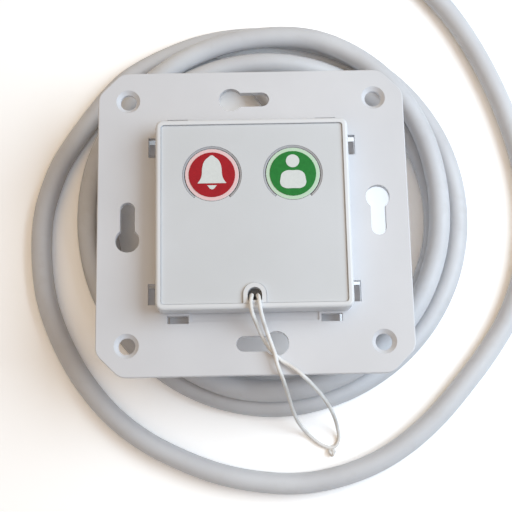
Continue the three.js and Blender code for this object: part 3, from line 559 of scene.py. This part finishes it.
def twisted_tube(name, route, diameter, material, body):
    """A closed tube with lobes that turn as they follow the route, as twisted yarns do."""
    mesh = bmesh.new()
    rings = []
    side = Vector((1, 0, 0))
    travelled = 0.0
    for i, place in enumerate(route):
        ahead = route[min(i + 1, len(route) - 1)] - route[max(i - 1, 0)]
        ahead.normalize()
        side = (side - ahead * side.dot(ahead)).normalized()
        up = ahead.cross(side)
        if i:
            travelled += (place - route[i - 1]).length
        twist = 2 * math.pi * travelled / YARN_PITCH
        ring = []
        for k in range(YARN_SIDES):
            angle = 2 * math.pi * k / YARN_SIDES
            lobe = 1 - YARN_DEPTH * (1 - abs(math.cos(YARN_LOBES / 2 * (angle - twist))))
            radius = diameter / 2 * lobe
            ring.append(
                mesh.verts.new(place + radius * (math.cos(angle) * side + math.sin(angle) * up))
            )
        rings.append(ring)
    join_rings(mesh, rings)
    cap_ends(mesh, rings)
    return link_piece(name, mesh, material, body)


def cord_yarn():
    """Bleached polyester yarn: matt, a little fuzzy, with fine fibres and light soiling."""
    material, tree, shader = bare_finish("cord_yarn")
    soiling = speckle(tree, object_space(tree), 260, 4)
    colour = tint(tree, spread(tree, soiling, 0, 1), srgb(246, 245, 243), srgb(226, 221, 215))
    tree.links.new(colour, shader.inputs["Base Color"])
    shader.inputs["Roughness"].default_value = 0.85
    shader.inputs["Sheen Weight"].default_value = 0.35
    shader.inputs["Sheen Roughness"].default_value = 0.4
    fibres = speckle(tree, object_space(tree, (1, 1, 0.35)), 9000, 3, 0.7)
    tree.links.new(relief(tree, fibres, 0.03 * MM, 0.6), shader.inputs["Normal"])
    return material


yarn = cord_yarn()
pull_route = smooth_line(PULL_CORD_ROUTE, PULL_CORD_SPACING)
pull_string = twisted_tube("pull_string", pull_route, PULL_CORD_DIAMETER, yarn, "pull_slider")
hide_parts("pull_cord")
print("pull cord length", round(line_length(pull_route), 4))


# Knots of the pull cord
# Behind the face the two ends are tied into one flat stopper knot under the slider. At the
# outer end of the loop the cord is drawn together by a small overhand knot.
KNOT_YARN = 0.72 * MM
LOOP_KNOT_CENTRE = (19.0, -55.0, 0.98)
LOOP_KNOT_REACH = 0.74
LOOP_KNOT_STEPS = 90
STOPPER_CENTRE = (0, EYELET_Y, 26.55)
STOPPER_REACH = (1.15, 0.72, 0.55)
STOPPER_TURNS = 3
STOPPER_STEPS = 40 * STOPPER_TURNS


def overhand_route(centre, reach):
    """The closed three-lobed line of an overhand knot, pulled tight."""
    route = []
    for i in range(LOOP_KNOT_STEPS):
        t = 2 * math.pi * i / LOOP_KNOT_STEPS
        x = (math.sin(t) + 2 * math.sin(2 * t)) / 3
        y = (math.cos(t) - 2 * math.cos(2 * t)) / 3
        z = -math.sin(3 * t) / 2
        route.append((Vector(centre) + Vector((x, y, z)) * reach) * MM)
    return route


def stopper_route():
    """Turns laid side by side round the doubled cord, as a stopper knot shows."""
    route = []
    for i in range(STOPPER_STEPS + 1):
        t = 2 * math.pi * STOPPER_TURNS * i / STOPPER_STEPS
        x = STOPPER_CENTRE[0] + STOPPER_REACH[0] * (2 * i / STOPPER_STEPS - 1)
        y = STOPPER_CENTRE[1] + STOPPER_REACH[1] * math.cos(t)
        z = STOPPER_CENTRE[2] + STOPPER_REACH[2] * math.sin(t)
        route.append(Vector((x, y, z)) * MM)
    return route


loop_route = overhand_route(LOOP_KNOT_CENTRE, LOOP_KNOT_REACH)
loop_tie = twisted_tube("loop_tie", loop_route, KNOT_YARN, yarn, "pull_slider")
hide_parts("loop_knot")

stopper = twisted_tube("stopper", stopper_route(), KNOT_YARN, yarn, "pull_slider")
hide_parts("pull_knot")


# Mounting plate
# One moulding in white ABS with a fine satin surface, 1.8 mm thick. Its keyholes and corner
# holes take the screws of a wall box, and the slots beside the unit are its clip windows.
PLATE_EDGE = 0.12 * MM
SAME_CORNER = 0.001 * MM
FLAT_ANGLE = math.radians(1)


def dress(node, material, edge=0.0, sharp=32):
    """Gives a solid's own object its finish, eased edges and smooth round faces."""
    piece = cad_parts[node]
    piece.data.materials.clear()
    piece.data.materials.append(material)
    weld = piece.modifiers.new("joined", "WELD")
    weld.merge_threshold = SAME_CORNER
    flat = piece.modifiers.new("flat_faces", "DECIMATE")
    flat.decimate_type = "DISSOLVE"
    flat.angle_limit = FLAT_ANGLE
    if edge:
        bevel = piece.modifiers.new("eased", "BEVEL")
        bevel.width = edge
        bevel.segments = 2
        bevel.limit_method = "ANGLE"
        bevel.angle_limit = math.radians(sharp)
    for face in piece.data.polygons:
        face.use_smooth = True
    normals = piece.modifiers.new("even", "WEIGHTED_NORMAL")
    normals.keep_sharp = False
    return piece


def satin_moulding(name, light, dark, roughness, grain, grain_scale):
    """Moulded plastic: cloudy colour, fine spark-eroded grain, faint flow and dust."""
    material, tree, shader = bare_finish(name)
    place = object_space(tree)
    cloud = speckle(tree, place, 38, 4)
    colour = tint(tree, spread(tree, cloud, 0, 1), dark, light)
    dust = speckle(tree, place, 1500, 2, 0.7)
    colour = tint(tree, spread(tree, dust, 0, 0.25, 0.72, 0.85), colour, dark)
    tree.links.new(colour, shader.inputs["Base Color"])
    low, high = roughness
    rough = spread(tree, speckle(tree, place, 140, 4), low, high)
    tree.links.new(rough, shader.inputs["Roughness"])
    fine = speckle(tree, place, grain_scale, 2)
    wave = relief(tree, speckle(tree, place, 60, 2), 0.05 * MM, 0.25)
    tree.links.new(relief(tree, fine, grain, 0.3, wave), shader.inputs["Normal"])
    return material


plate_white = satin_moulding(
    "plate_white", srgb(221, 221, 224), srgb(213, 213, 216), (0.42, 0.55), 0.012 * MM, 4200
)
dress("mounting_plate", plate_white, PLATE_EDGE)


# Front housing, with its label and eyelet
# A glossy white shell with a raised rim. A thin printed film in pale grey lies inside the
# rim, with cutouts for the keys and for the white eyelet that leads the cord out.
HOUSING_EDGE = 0.1 * MM
LABEL_EDGE = 0.05 * MM
EYELET_EDGE = 0.14 * MM

shell_white = satin_moulding(
    "shell_white", srgb(232, 233, 235), srgb(225, 226, 228), (0.28, 0.4), 0.006 * MM, 2600
)
film_grey = satin_moulding(
    "film_grey", srgb(216, 218, 221), srgb(211, 213, 215), (0.38, 0.5), 0.008 * MM, 6000
)
dress("front_housing", shell_white, HOUSING_EDGE)
dress("front_label", film_grey, LABEL_EDGE)
dress("cord_eyelet", shell_white, EYELET_EDGE)


# Call key and presence key
# Two round caps of milky plastic that tip on an arm below the face. Each has a printed disc,
# red with a bell or green with a person, inside a paler ring of the same colour: a painted
# glow of the disc through the milky cap. A grey ring in the groove round it is painted shade
# for the shadow in the groove.
KEY_PITCH = 19
KEY_Y = 9.2
KEY_EDGE = 0.15 * MM
DISC_EDGE = 0.03 * MM
DISC_RADIUS = 5.45
RING_RADIUS = 6.3
RING_FADE = (-0.12, 0.08)
SYMBOL_HEIGHT = 0.08 * MM
SYMBOL_SMOOTHNESS = 10
KEY_OPEN_ANGLE = 38
FACE_TOP = 32.75
# The groove's grey ring is painted shade for the groove's shadow: its steps round the cap, and its
# section as radius and height above the face.
SHADE_RING_STEPS = 72
SHADE_RING_SECTION = [(6.5, -0.75), (6.99, -0.75), (6.99, 0.17), (6.75, 0.09), (6.5, 0.12)]
SMOOTH = "AUTO"
CORNER = "VECTOR"
BELL = [
    [
        (0.0, 0.86, SMOOTH),
        (0.15, 0.77, SMOOTH),
        (0.32, 0.6, SMOOTH),
        (0.41, 0.32, SMOOTH),
        (0.44, -0.02, SMOOTH),
        (0.49, -0.19, SMOOTH),
        (0.62, -0.39, CORNER),
        (-0.62, -0.39, CORNER),
        (-0.49, -0.19, SMOOTH),
        (-0.44, -0.02, SMOOTH),
        (-0.41, 0.32, SMOOTH),
        (-0.32, 0.6, SMOOTH),
        (-0.15, 0.77, SMOOTH),
    ],
    [(-0.21, -0.48, CORNER), (0.21, -0.48, CORNER), (0.0, -0.66, SMOOTH)],
]
PERSON = [
    [(0.0, 0.84, SMOOTH), (0.29, 0.55, SMOOTH), (0.0, 0.26, SMOOTH), (-0.29, 0.55, SMOOTH)],
    [
        (0.0, -0.67, SMOOTH),
        (0.43, -0.62, SMOOTH),
        (0.55, -0.47, SMOOTH),
        (0.54, -0.22, SMOOTH),
        (0.47, 0.0, SMOOTH),
        (0.28, 0.12, SMOOTH),
        (0.0, 0.13, SMOOTH),
        (-0.28, 0.12, SMOOTH),
        (-0.47, 0.0, SMOOTH),
        (-0.54, -0.22, SMOOTH),
        (-0.55, -0.47, SMOOTH),
        (-0.43, -0.62, SMOOTH),
    ],
]


def milky_cap(name, centre, painted_glow_colour):
    """A key's cap: white plastic, with a painted glow of the disc's colour in the ring that the
    printed disc leaves free.
    """
    material, tree, shader = bare_finish(name)
    place = tree.nodes.new("ShaderNodeTexCoord")
    offset = tree.nodes.new("ShaderNodeVectorMath")
    offset.operation = "SUBTRACT"
    offset.inputs[1].default_value = (centre[0], centre[1], 0)
    tree.links.new(place.outputs["Object"], offset.inputs[0])
    flat = tree.nodes.new("ShaderNodeVectorMath")
    flat.operation = "MULTIPLY"
    flat.inputs[1].default_value = (1, 1, 0)
    tree.links.new(offset.outputs[0], flat.inputs[0])
    away = tree.nodes.new("ShaderNodeVectorMath")
    away.operation = "LENGTH"
    tree.links.new(flat.outputs[0], away.inputs[0])
    # The ring round the disc is painted glow: the disc's colour as light through the milky cap
    # shows it.
    inner, outer = [(RING_RADIUS + fade) * MM for fade in RING_FADE]
    rim = spread(tree, away.outputs["Value"], 0, 1, inner, outer)
    cloud = spread(tree, speckle(tree, object_space(tree), 180, 3), 0, 1)
    white = tint(tree, cloud, srgb(226, 227, 228), srgb(233, 233, 234))
    colour = tint(tree, rim, painted_glow_colour, white)
    tree.links.new(colour, shader.inputs["Base Color"])
    rough = spread(tree, speckle(tree, object_space(tree), 900, 3), 0.3, 0.42)
    tree.links.new(rough, shader.inputs["Roughness"])
    shader.inputs["Subsurface Weight"].default_value = 0.08
    shader.inputs["Subsurface Radius"].default_value = (MM, MM, MM)
    shader.inputs["Subsurface Scale"].default_value = 1.0
    return material


def printed_ink(name, light, dark):
    """Screen-printed ink: even, with fine pinholes and a slight gloss."""
    material, tree, shader = bare_finish(name)
    place = object_space(tree)
    share = spread(tree, speckle(tree, place, 1100, 4, 0.65), 0, 1, 0.35, 0.7)
    tree.links.new(tint(tree, share, light, dark), shader.inputs["Base Color"])
    rough = spread(tree, speckle(tree, place, 300, 3), 0.36, 0.48)
    tree.links.new(rough, shader.inputs["Roughness"])
    shader.inputs["Specular IOR Level"].default_value = 0.25
    dots = speckle(tree, place, 5200, 1)
    tree.links.new(relief(tree, dots, 0.004 * MM, 0.3), shader.inputs["Normal"])
    return material


def printed_shape(name, outlines, place, size, material):
    """A flat printed shape from closed outlines, slightly raised, on a disc's top."""
    curve = bpy.data.curves.new(name, "CURVE")
    curve.dimensions = "2D"
    curve.fill_mode = "BOTH"
    curve.extrude = SYMBOL_HEIGHT / 2
    curve.resolution_u = SYMBOL_SMOOTHNESS
    for outline in outlines:
        spline = curve.splines.new("BEZIER")
        spline.use_cyclic_u = True
        spline.bezier_points.add(len(outline) - 1)
        for point, (x, y, handle) in zip(spline.bezier_points, outline):
            point.co = (x * size, y * size, 0)
            point.handle_left_type = handle
            point.handle_right_type = handle
    curve.materials.append(material)
    piece = bpy.data.objects.new(name, curve)
    piece.location = place
    bpy.context.scene.collection.objects.link(piece)
    return piece


def groove_shade_ring(name, centre):
    """Painted shade: a grey ring in the groove round a cap, open at the bottom where the arm
    leaves.
    """
    mesh = bmesh.new()
    rows = []
    open_half = math.radians(KEY_OPEN_ANGLE)
    for i in range(SHADE_RING_STEPS + 1):
        turn = -math.pi / 2 + open_half + (2 * math.pi - 2 * open_half) * i / SHADE_RING_STEPS
        row = []
        for radius, height in SHADE_RING_SECTION:
            x = centre[0] + radius * MM * math.cos(turn)
            y = centre[1] + radius * MM * math.sin(turn)
            row.append(mesh.verts.new((x, y, (FACE_TOP + height) * MM)))
        rows.append(row)
    join_rings(mesh, rows)
    cap_ends(mesh, rows)
    link_piece(name, mesh, groove_shade_grey, "base")


# Grey of the groove ring: painted shade, standing for the shadow in the groove round each cap.
groove_shade_grey = satin_moulding(
    "groove_shade_grey", srgb(182, 182, 185), srgb(170, 170, 174), (0.55, 0.7), 0.01 * MM, 3000
)
symbol_white = printed_ink("symbol_white", srgb(224, 228, 226), srgb(217, 221, 219))
# Each key: name, side, symbol outlines, light and dark ink, and the colour of the painted glow
# round its disc.
keys = [
    ("call", -1, BELL, srgb(172, 22, 36), srgb(158, 18, 32), srgb(236, 203, 203)),
    ("presence", 1, PERSON, srgb(34, 128, 52), srgb(28, 116, 46), srgb(196, 222, 196)),
]
for title, side, outlines, ink_light, ink_dark, ring in keys:
    middle = (side * KEY_PITCH / 2 * MM, KEY_Y * MM)
    dress(f"{title}_key", milky_cap(f"{title}_cap", middle, ring), KEY_EDGE)
    dress(f"{title}_disc", printed_ink(f"{title}_ink", ink_light, ink_dark), DISC_EDGE)
    # The ring of painted shade in the groove round the cap.
    groove_shade_ring(f"{title}_groove_shade", middle)
    disc_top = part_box(f"{title}_disc")[1][2]
    mark = printed_shape(
        f"{title}_mark",
        outlines,
        (*middle, disc_top + SYMBOL_HEIGHT / 2),
        DISC_RADIUS * MM,
        symbol_white,
    )
    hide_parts(f"{title}_symbol")
    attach(mark, f"{title}_key")


# Inside of the call unit
# A green board carries two key switches and a pull switch with clear plungers, two lamps, a
# buzzer and a controller. A sprung slider in a guide ties the pull cord to its switch.
BOARD_GREEN = (srgb(24, 96, 48), srgb(18, 80, 40))
TRACK_GREEN = srgb(48, 128, 66)
SPRING_CENTRE = (0, -13.5)
SPRING_FOOT = 29.15
SPRING_TOP = 30.8
SPRING_RADIUS = 1.5
SPRING_WIRE = 0.25
SPRING_TURNS = 3
SPRING_STEPS = 24
WIRE_SIDES = 10
BOARD_EDGE = 0.05 * MM
PART_EDGE = 0.12 * MM
PLUNGER_EDGE = 0.1 * MM
LAMP_EDGE = 0.08 * MM
SLIDER_EDGE = 0.08 * MM


def printed_board():
    """Solder mask over etched tracks, with a slight gloss."""
    material, tree, shader = bare_finish("printed_board")
    place = object_space(tree, (1, 1, 0))
    tracks = tree.nodes.new("ShaderNodeTexBrick")
    tracks.inputs["Scale"].default_value = 180
    tracks.inputs["Mortar Size"].default_value = 0.03
    tracks.inputs["Color1"].default_value = (*BOARD_GREEN[0], 1)
    tracks.inputs["Color2"].default_value = (*BOARD_GREEN[1], 1)
    tracks.inputs["Mortar"].default_value = (*TRACK_GREEN, 1)
    tree.links.new(place, tracks.inputs["Vector"])
    tree.links.new(tracks.outputs["Color"], shader.inputs["Base Color"])
    rough = spread(tree, speckle(tree, place, 500, 2), 0.3, 0.45)
    tree.links.new(rough, shader.inputs["Roughness"])
    tree.links.new(relief(tree, tracks.outputs["Fac"], 0.02 * MM, 0.5), shader.inputs["Normal"])
    return material


def clear_plastic():
    """Clear polycarbonate with faint haze and flow marks."""
    material, tree, shader = bare_finish("clear_plastic")
    place = object_space(tree)
    haze = spread(tree, speckle(tree, place, 120, 3), 0, 1)
    colour = tint(tree, haze, srgb(240, 244, 246), srgb(228, 234, 237))
    tree.links.new(colour, shader.inputs["Base Color"])
    rough = spread(tree, speckle(tree, place, 260, 3), 0.06, 0.16)
    tree.links.new(rough, shader.inputs["Roughness"])
    shader.inputs["Transmission Weight"].default_value = 0.85
    shader.inputs["IOR"].default_value = 1.52
    wave = speckle(tree, place, 320, 2)
    tree.links.new(relief(tree, wave, 0.02 * MM, 0.2), shader.inputs["Normal"])
    return material


def plated_metal(name, light, dark, roughness):
    """Plated metal with fine brushing along its length."""
    material, tree, shader = bare_finish(name)
    place = object_space(tree, (1, 1, 0.1))
    share = spread(tree, speckle(tree, place, 2400, 3), 0, 1)
    tree.links.new(tint(tree, share, light, dark), shader.inputs["Base Color"])
    shader.inputs["Metallic"].default_value = 1.0
    low, high = roughness
    rough = spread(tree, speckle(tree, place, 900, 3), low, high)
    tree.links.new(rough, shader.inputs["Roughness"])
    brushing = speckle(tree, place, 5000, 2)
    tree.links.new(relief(tree, brushing, 0.004 * MM, 0.3), shader.inputs["Normal"])
    return material


component_black = satin_moulding(
    "component_black", srgb(38, 39, 42), srgb(28, 28, 31), (0.4, 0.55), 0.01 * MM, 5000
)
lamp_milk = satin_moulding(
    "lamp_milk", srgb(244, 242, 230), srgb(234, 230, 214), (0.2, 0.3), 0.004 * MM, 3000
)
steel = plated_metal("zinc_plated", srgb(196, 198, 202), srgb(170, 173, 178), (0.28, 0.42))
clear = clear_plastic()
dress("circuit_board", printed_board(), BOARD_EDGE)
for node in ("call_switch", "presence_switch", "pull_switch", "buzzer", "controller_chip"):
    dress(node, component_black, PART_EDGE)
for node in ("call_plunger", "presence_plunger", "pull_plunger"):
    dress(node, clear, PLUNGER_EDGE)
for node in ("call_lamp", "presence_lamp"):
    dress(node, lamp_milk, LAMP_EDGE)
for node in ("pull_slider", "pull_guide"):
    dress(node, shell_white, SLIDER_EDGE)


def round_tube(name, route, radius, sides, material, body):
    """A smooth closed tube of one radius along a route in metres."""
    mesh = bmesh.new()
    rings = []
    side = Vector((0, 0, 1))
    for i, place in enumerate(route):
        ahead = route[min(i + 1, len(route) - 1)] - route[max(i - 1, 0)]
        ahead.normalize()
        side = (side - ahead * side.dot(ahead)).normalized()
        up = ahead.cross(side)
        ring = []
        for k in range(sides):
            angle = 2 * math.pi * k / sides
            ring.append(
                mesh.verts.new(place + radius * (math.cos(angle) * side + math.sin(angle) * up))
            )
        rings.append(ring)
    join_rings(mesh, rings)
    cap_ends(mesh, rings)
    return link_piece(name, mesh, material, body)


spring_route = []
for i in range(SPRING_TURNS * SPRING_STEPS + 1):
    turn = 2 * math.pi * i / SPRING_STEPS
    rise = (SPRING_TOP - SPRING_FOOT) * i / (SPRING_TURNS * SPRING_STEPS)
    x = SPRING_CENTRE[0] + SPRING_RADIUS * math.cos(turn)
    y = SPRING_CENTRE[1] + SPRING_RADIUS * math.sin(turn)
    spring_route.append(Vector((x, y, SPRING_FOOT + rise)) * MM)
return_spring = round_tube(
    "return_spring", spring_route, SPRING_WIRE * MM, WIRE_SIDES, steel, "base"
)
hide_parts("pull_spring")
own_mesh(return_spring)


# Back box
# An open box in the same white plastic, with cut corners so that it fits a round wall box.
# Three screws hold it to the front from behind. The cable's clamp and terminals lie in it.
BOX_EDGE = 0.2 * MM
SCREW_EDGE = 0.08 * MM
CLAMP_EDGE = 0.15 * MM

dress("rear_housing", plate_white, BOX_EDGE)
for number in (1, 2, 3):
    dress(f"housing_screw_{number}", steel, SCREW_EDGE)
dress("cable_clamp", shell_white, CLAMP_EDGE)
dress("terminal_block", clear, CLAMP_EDGE)
dress("cable_cores", jacket)


# Strain relief
# A soft grommet in the cable's own grey: a flange on the box wall and a ribbed sleeve that
# tapers along the cable.
RELIEF_X = 8
RELIEF_Z = 6.5
WALL_OUTSIDE = 22.4
SLEEVE_START = 20.0
SLEEVE_BORE = 2.95
SLEEVE_WALL = 0.3
SLEEVE_ROOT, SLEEVE_TIP = 3.85, 3.4
SLEEVE_RIBS = 5
RIB_PITCH = 0.95
RIB_DEPTH = 0.3
FLANGE_RADIUS = 4.4
FLANGE_THICKNESS = 1.2
FLANGE_NECK = 4.0
SOFT_EDGE = 0.25
TURNED_SIDES = 40


def ribbed_profile(start, root, tip, ribs, pitch, rise):
    """Pairs of distance and radius down a row of soft ribs that grow smaller."""
    profile = []
    for i in range(ribs):
        share = i / max(1, ribs - 1)
        radius = root + (tip - root) * share
        at = start + i * pitch
        profile += [
            (at, radius - rise),
            (at + 0.15 * pitch, radius - rise * 0.2),
            (at + 0.3 * pitch, radius),
            (at + 0.55 * pitch, radius),
            (at + 0.7 * pitch, radius - rise * 0.2),
            (at + 0.85 * pitch, radius - rise),
        ]
    return profile


def turned_piece(name, profile, place, material, body):
    """A closed ring turned round a line: pairs of distance along it and radius."""
    mesh = bmesh.new()
    rings = []
    for distance, radius in profile:
        ring = []
        for k in range(TURNED_SIDES):
            angle = 2 * math.pi * k / TURNED_SIDES
            corner = Vector((distance, radius * math.cos(angle), radius * math.sin(angle)))
            ring.append(mesh.verts.new(place @ corner))
        rings.append(ring)
    join_rings(mesh, rings + rings[:1])
    return link_piece(name, mesh, material, body)


def soft_rubber():
    """Grey soft moulding: matt, with fine grain and darker dust here and there."""
    material, tree, shader = bare_finish("soft_rubber")
    place = object_space(tree)
    share = spread(tree, speckle(tree, place, 300, 4), 0, 1)
    colour = tint(tree, share, srgb(186, 184, 182), srgb(172, 169, 167))
    tree.links.new(colour, shader.inputs["Base Color"])
    rough = spread(tree, speckle(tree, place, 700, 3), 0.55, 0.7)
    tree.links.new(rough, shader.inputs["Roughness"])
    grain = speckle(tree, place, 3500, 2)
    tree.links.new(relief(tree, grain, 0.01 * MM, 0.4), shader.inputs["Normal"])
    return material


rubber = soft_rubber()
relief_line = Matrix.Translation(Vector((RELIEF_X, 0, RELIEF_Z)) * MM)
relief_line = relief_line @ Matrix.Rotation(math.radians(90), 4, "Z") @ Matrix.Scale(MM, 4)
flange_end = WALL_OUTSIDE + FLANGE_THICKNESS
sleeve_profile = [
    (SLEEVE_START, SLEEVE_BORE),
    (SLEEVE_START, SLEEVE_BORE + SLEEVE_WALL),
    (WALL_OUTSIDE, SLEEVE_BORE + SLEEVE_WALL),
    (WALL_OUTSIDE, FLANGE_RADIUS - SOFT_EDGE),
    (WALL_OUTSIDE + SOFT_EDGE, FLANGE_RADIUS),
    (flange_end - SOFT_EDGE, FLANGE_RADIUS),
    (flange_end, FLANGE_RADIUS - SOFT_EDGE),
    (flange_end, FLANGE_NECK),
    *ribbed_profile(
        flange_end + 0.1, SLEEVE_ROOT, SLEEVE_TIP, SLEEVE_RIBS, RIB_PITCH, RIB_DEPTH
    ),
    (SLEEVE_END[1] - SOFT_EDGE, SLEEVE_BORE + 0.4),
    (SLEEVE_END[1], SLEEVE_BORE + 0.2),
    (SLEEVE_END[1], SLEEVE_BORE),
]
ribbed_sleeve = turned_piece("ribbed_sleeve", sleeve_profile, relief_line, rubber, "base")
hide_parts("strain_relief")


# Coil tie
# A black hook-and-loop strap, 4 mm wide, pressed together round the four turns of the coil to
# hold them as a bundle.
STRAP_X = 94.0
STRAP_Y = 113.5
STRAP_Z = 6.25
STRAP_WIDTH = 4.0
STRAP_HALF = 5.56
STRAP_CORNER = 2.7
STRAP_THICKNESS = 0.5
STRAP_STEPS = 7
STRAP_EDGE = 0.1 * MM
STRAP_EDGE_ANGLE = math.radians(40)


def strap_line(half, corner, z):
    """The strap's closed line round the bundle, seen along the cable."""
    line = []
    for quarter in range(4):
        for i in range(STRAP_STEPS + 1):
            angle = math.radians(90 * quarter + 90 * i / STRAP_STEPS)
            x = (half - corner) * (1 if quarter in (0, 3) else -1) + corner * math.cos(angle)
            h = (half - corner) * (1 if quarter in (0, 1) else -1) + corner * math.sin(angle)
            line.append((STRAP_X + x, z + h))
    return line


def hook_and_loop():
    """Black woven strap: dense loops, matt with a soft sheen."""
    material, tree, shader = bare_finish("hook_and_loop")
    place = object_space(tree)
    loops = tree.nodes.new("ShaderNodeTexVoronoi")
    loops.inputs["Scale"].default_value = 3200
    tree.links.new(place, loops.inputs["Vector"])
    share = spread(tree, loops.outputs["Distance"], 0, 1, 0.0, 0.8)
    colour = tint(tree, share, srgb(40, 40, 43), srgb(20, 20, 22))
    tree.links.new(colour, shader.inputs["Base Color"])
    shader.inputs["Roughness"].default_value = 0.9
    shader.inputs["Sheen Weight"].default_value = 0.4
    tree.links.new(relief(tree, loops.outputs["Distance"], 0.08 * MM, 0.7), shader.inputs["Normal"])
    return material


def strap():
    """A flat band round the bundle, with softened edges."""
    mesh = bmesh.new()
    inner = strap_line(STRAP_HALF, STRAP_CORNER, STRAP_Z)
    outer = strap_line(STRAP_HALF + STRAP_THICKNESS, STRAP_CORNER + STRAP_THICKNESS, STRAP_Z)
    rings = []
    for (x0, z0), (x1, z1) in zip(inner, outer):
        half = STRAP_WIDTH / 2
        corners = [(x0, -half, z0), (x1, -half, z1), (x1, half, z1), (x0, half, z0)]
        rings.append([mesh.verts.new(Vector((x, STRAP_Y + y, z)) * MM) for x, y, z in corners])
    join_rings(mesh, rings + rings[:1])
    piece = link_piece("hook_and_loop_tie", mesh, hook_and_loop(), "base")
    bevel = piece.modifiers.new("soft", "BEVEL")
    bevel.width = STRAP_EDGE
    bevel.segments = 2
    bevel.angle_limit = STRAP_EDGE_ANGLE
    return piece


tie = strap()
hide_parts("coil_tie")


# Plug
# A clear eight-way plug with gold contacts and a sprung latch, on a soft ribbed boot. It lies
# beside the coil at the end of the cable.
BOOT_LENGTH = 11
BOOT_GAP = 0.4
BOOT_CORE = 0.4
BOOT_NECK = 3.45
BOOT_RIBS_START = 2.0
BOOT_ROOT, BOOT_TIP = 3.5, 3.85
BOOT_RIBS = 6
BOOT_RIB_PITCH = 1.1
BOOT_RIB_DEPTH = 0.35
BOOT_COLLAR = 3.95
BOOT_COLLAR_LENGTH = 1.9
TAIL_HEADING = 11
PLUG_CENTRE_HEIGHT = 4.05
PLUG_EDGE = 0.25 * MM
LATCH_EDGE = 0.15 * MM
CONTACT_EDGE = 0.05 * MM


def plug_line():
    """The plug's own line: from the cable's end, along the heading of the tail."""
    x, y, _ = eased_round(COIL_STATIONS[-1:], COIL_CENTRE, COIL_STEP)[0]
    place = Matrix.Translation(Vector((x, y, PLUG_CENTRE_HEIGHT)) * MM)
    return place @ Matrix.Rotation(math.radians(TAIL_HEADING), 4, "Z") @ Matrix.Scale(MM, 4)


boot_profile = [
    (BOOT_GAP, BOOT_CORE),
    (BOOT_GAP, BOOT_NECK - 0.55),
    (BOOT_GAP + 0.3, BOOT_NECK - 0.3),
    (1.0, BOOT_NECK),
    (1.6, BOOT_NECK + 0.03),
    *ribbed_profile(
        BOOT_RIBS_START, BOOT_ROOT, BOOT_TIP, BOOT_RIBS, BOOT_RIB_PITCH, BOOT_RIB_DEPTH
    ),
    (BOOT_LENGTH - BOOT_COLLAR_LENGTH, BOOT_COLLAR),
    (BOOT_LENGTH - 0.2, BOOT_COLLAR),
    (BOOT_LENGTH, BOOT_COLLAR - 0.15),
    (BOOT_LENGTH, BOOT_CORE),
]
boot = turned_piece("ribbed_boot", boot_profile, plug_line(), rubber, "base")
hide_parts("plug_boot")
gold = plated_metal("gold_plated", srgb(224, 176, 84), srgb(204, 152, 62), (0.18, 0.3))
dress("plug_body", clear, PLUG_EDGE)
dress("plug_latch", clear, LATCH_EDGE)
contacts = [f"plug_contact_{number}" for number in range(1, 9)]
for contact in contacts:
    dress(contact, gold, CONTACT_EDGE)
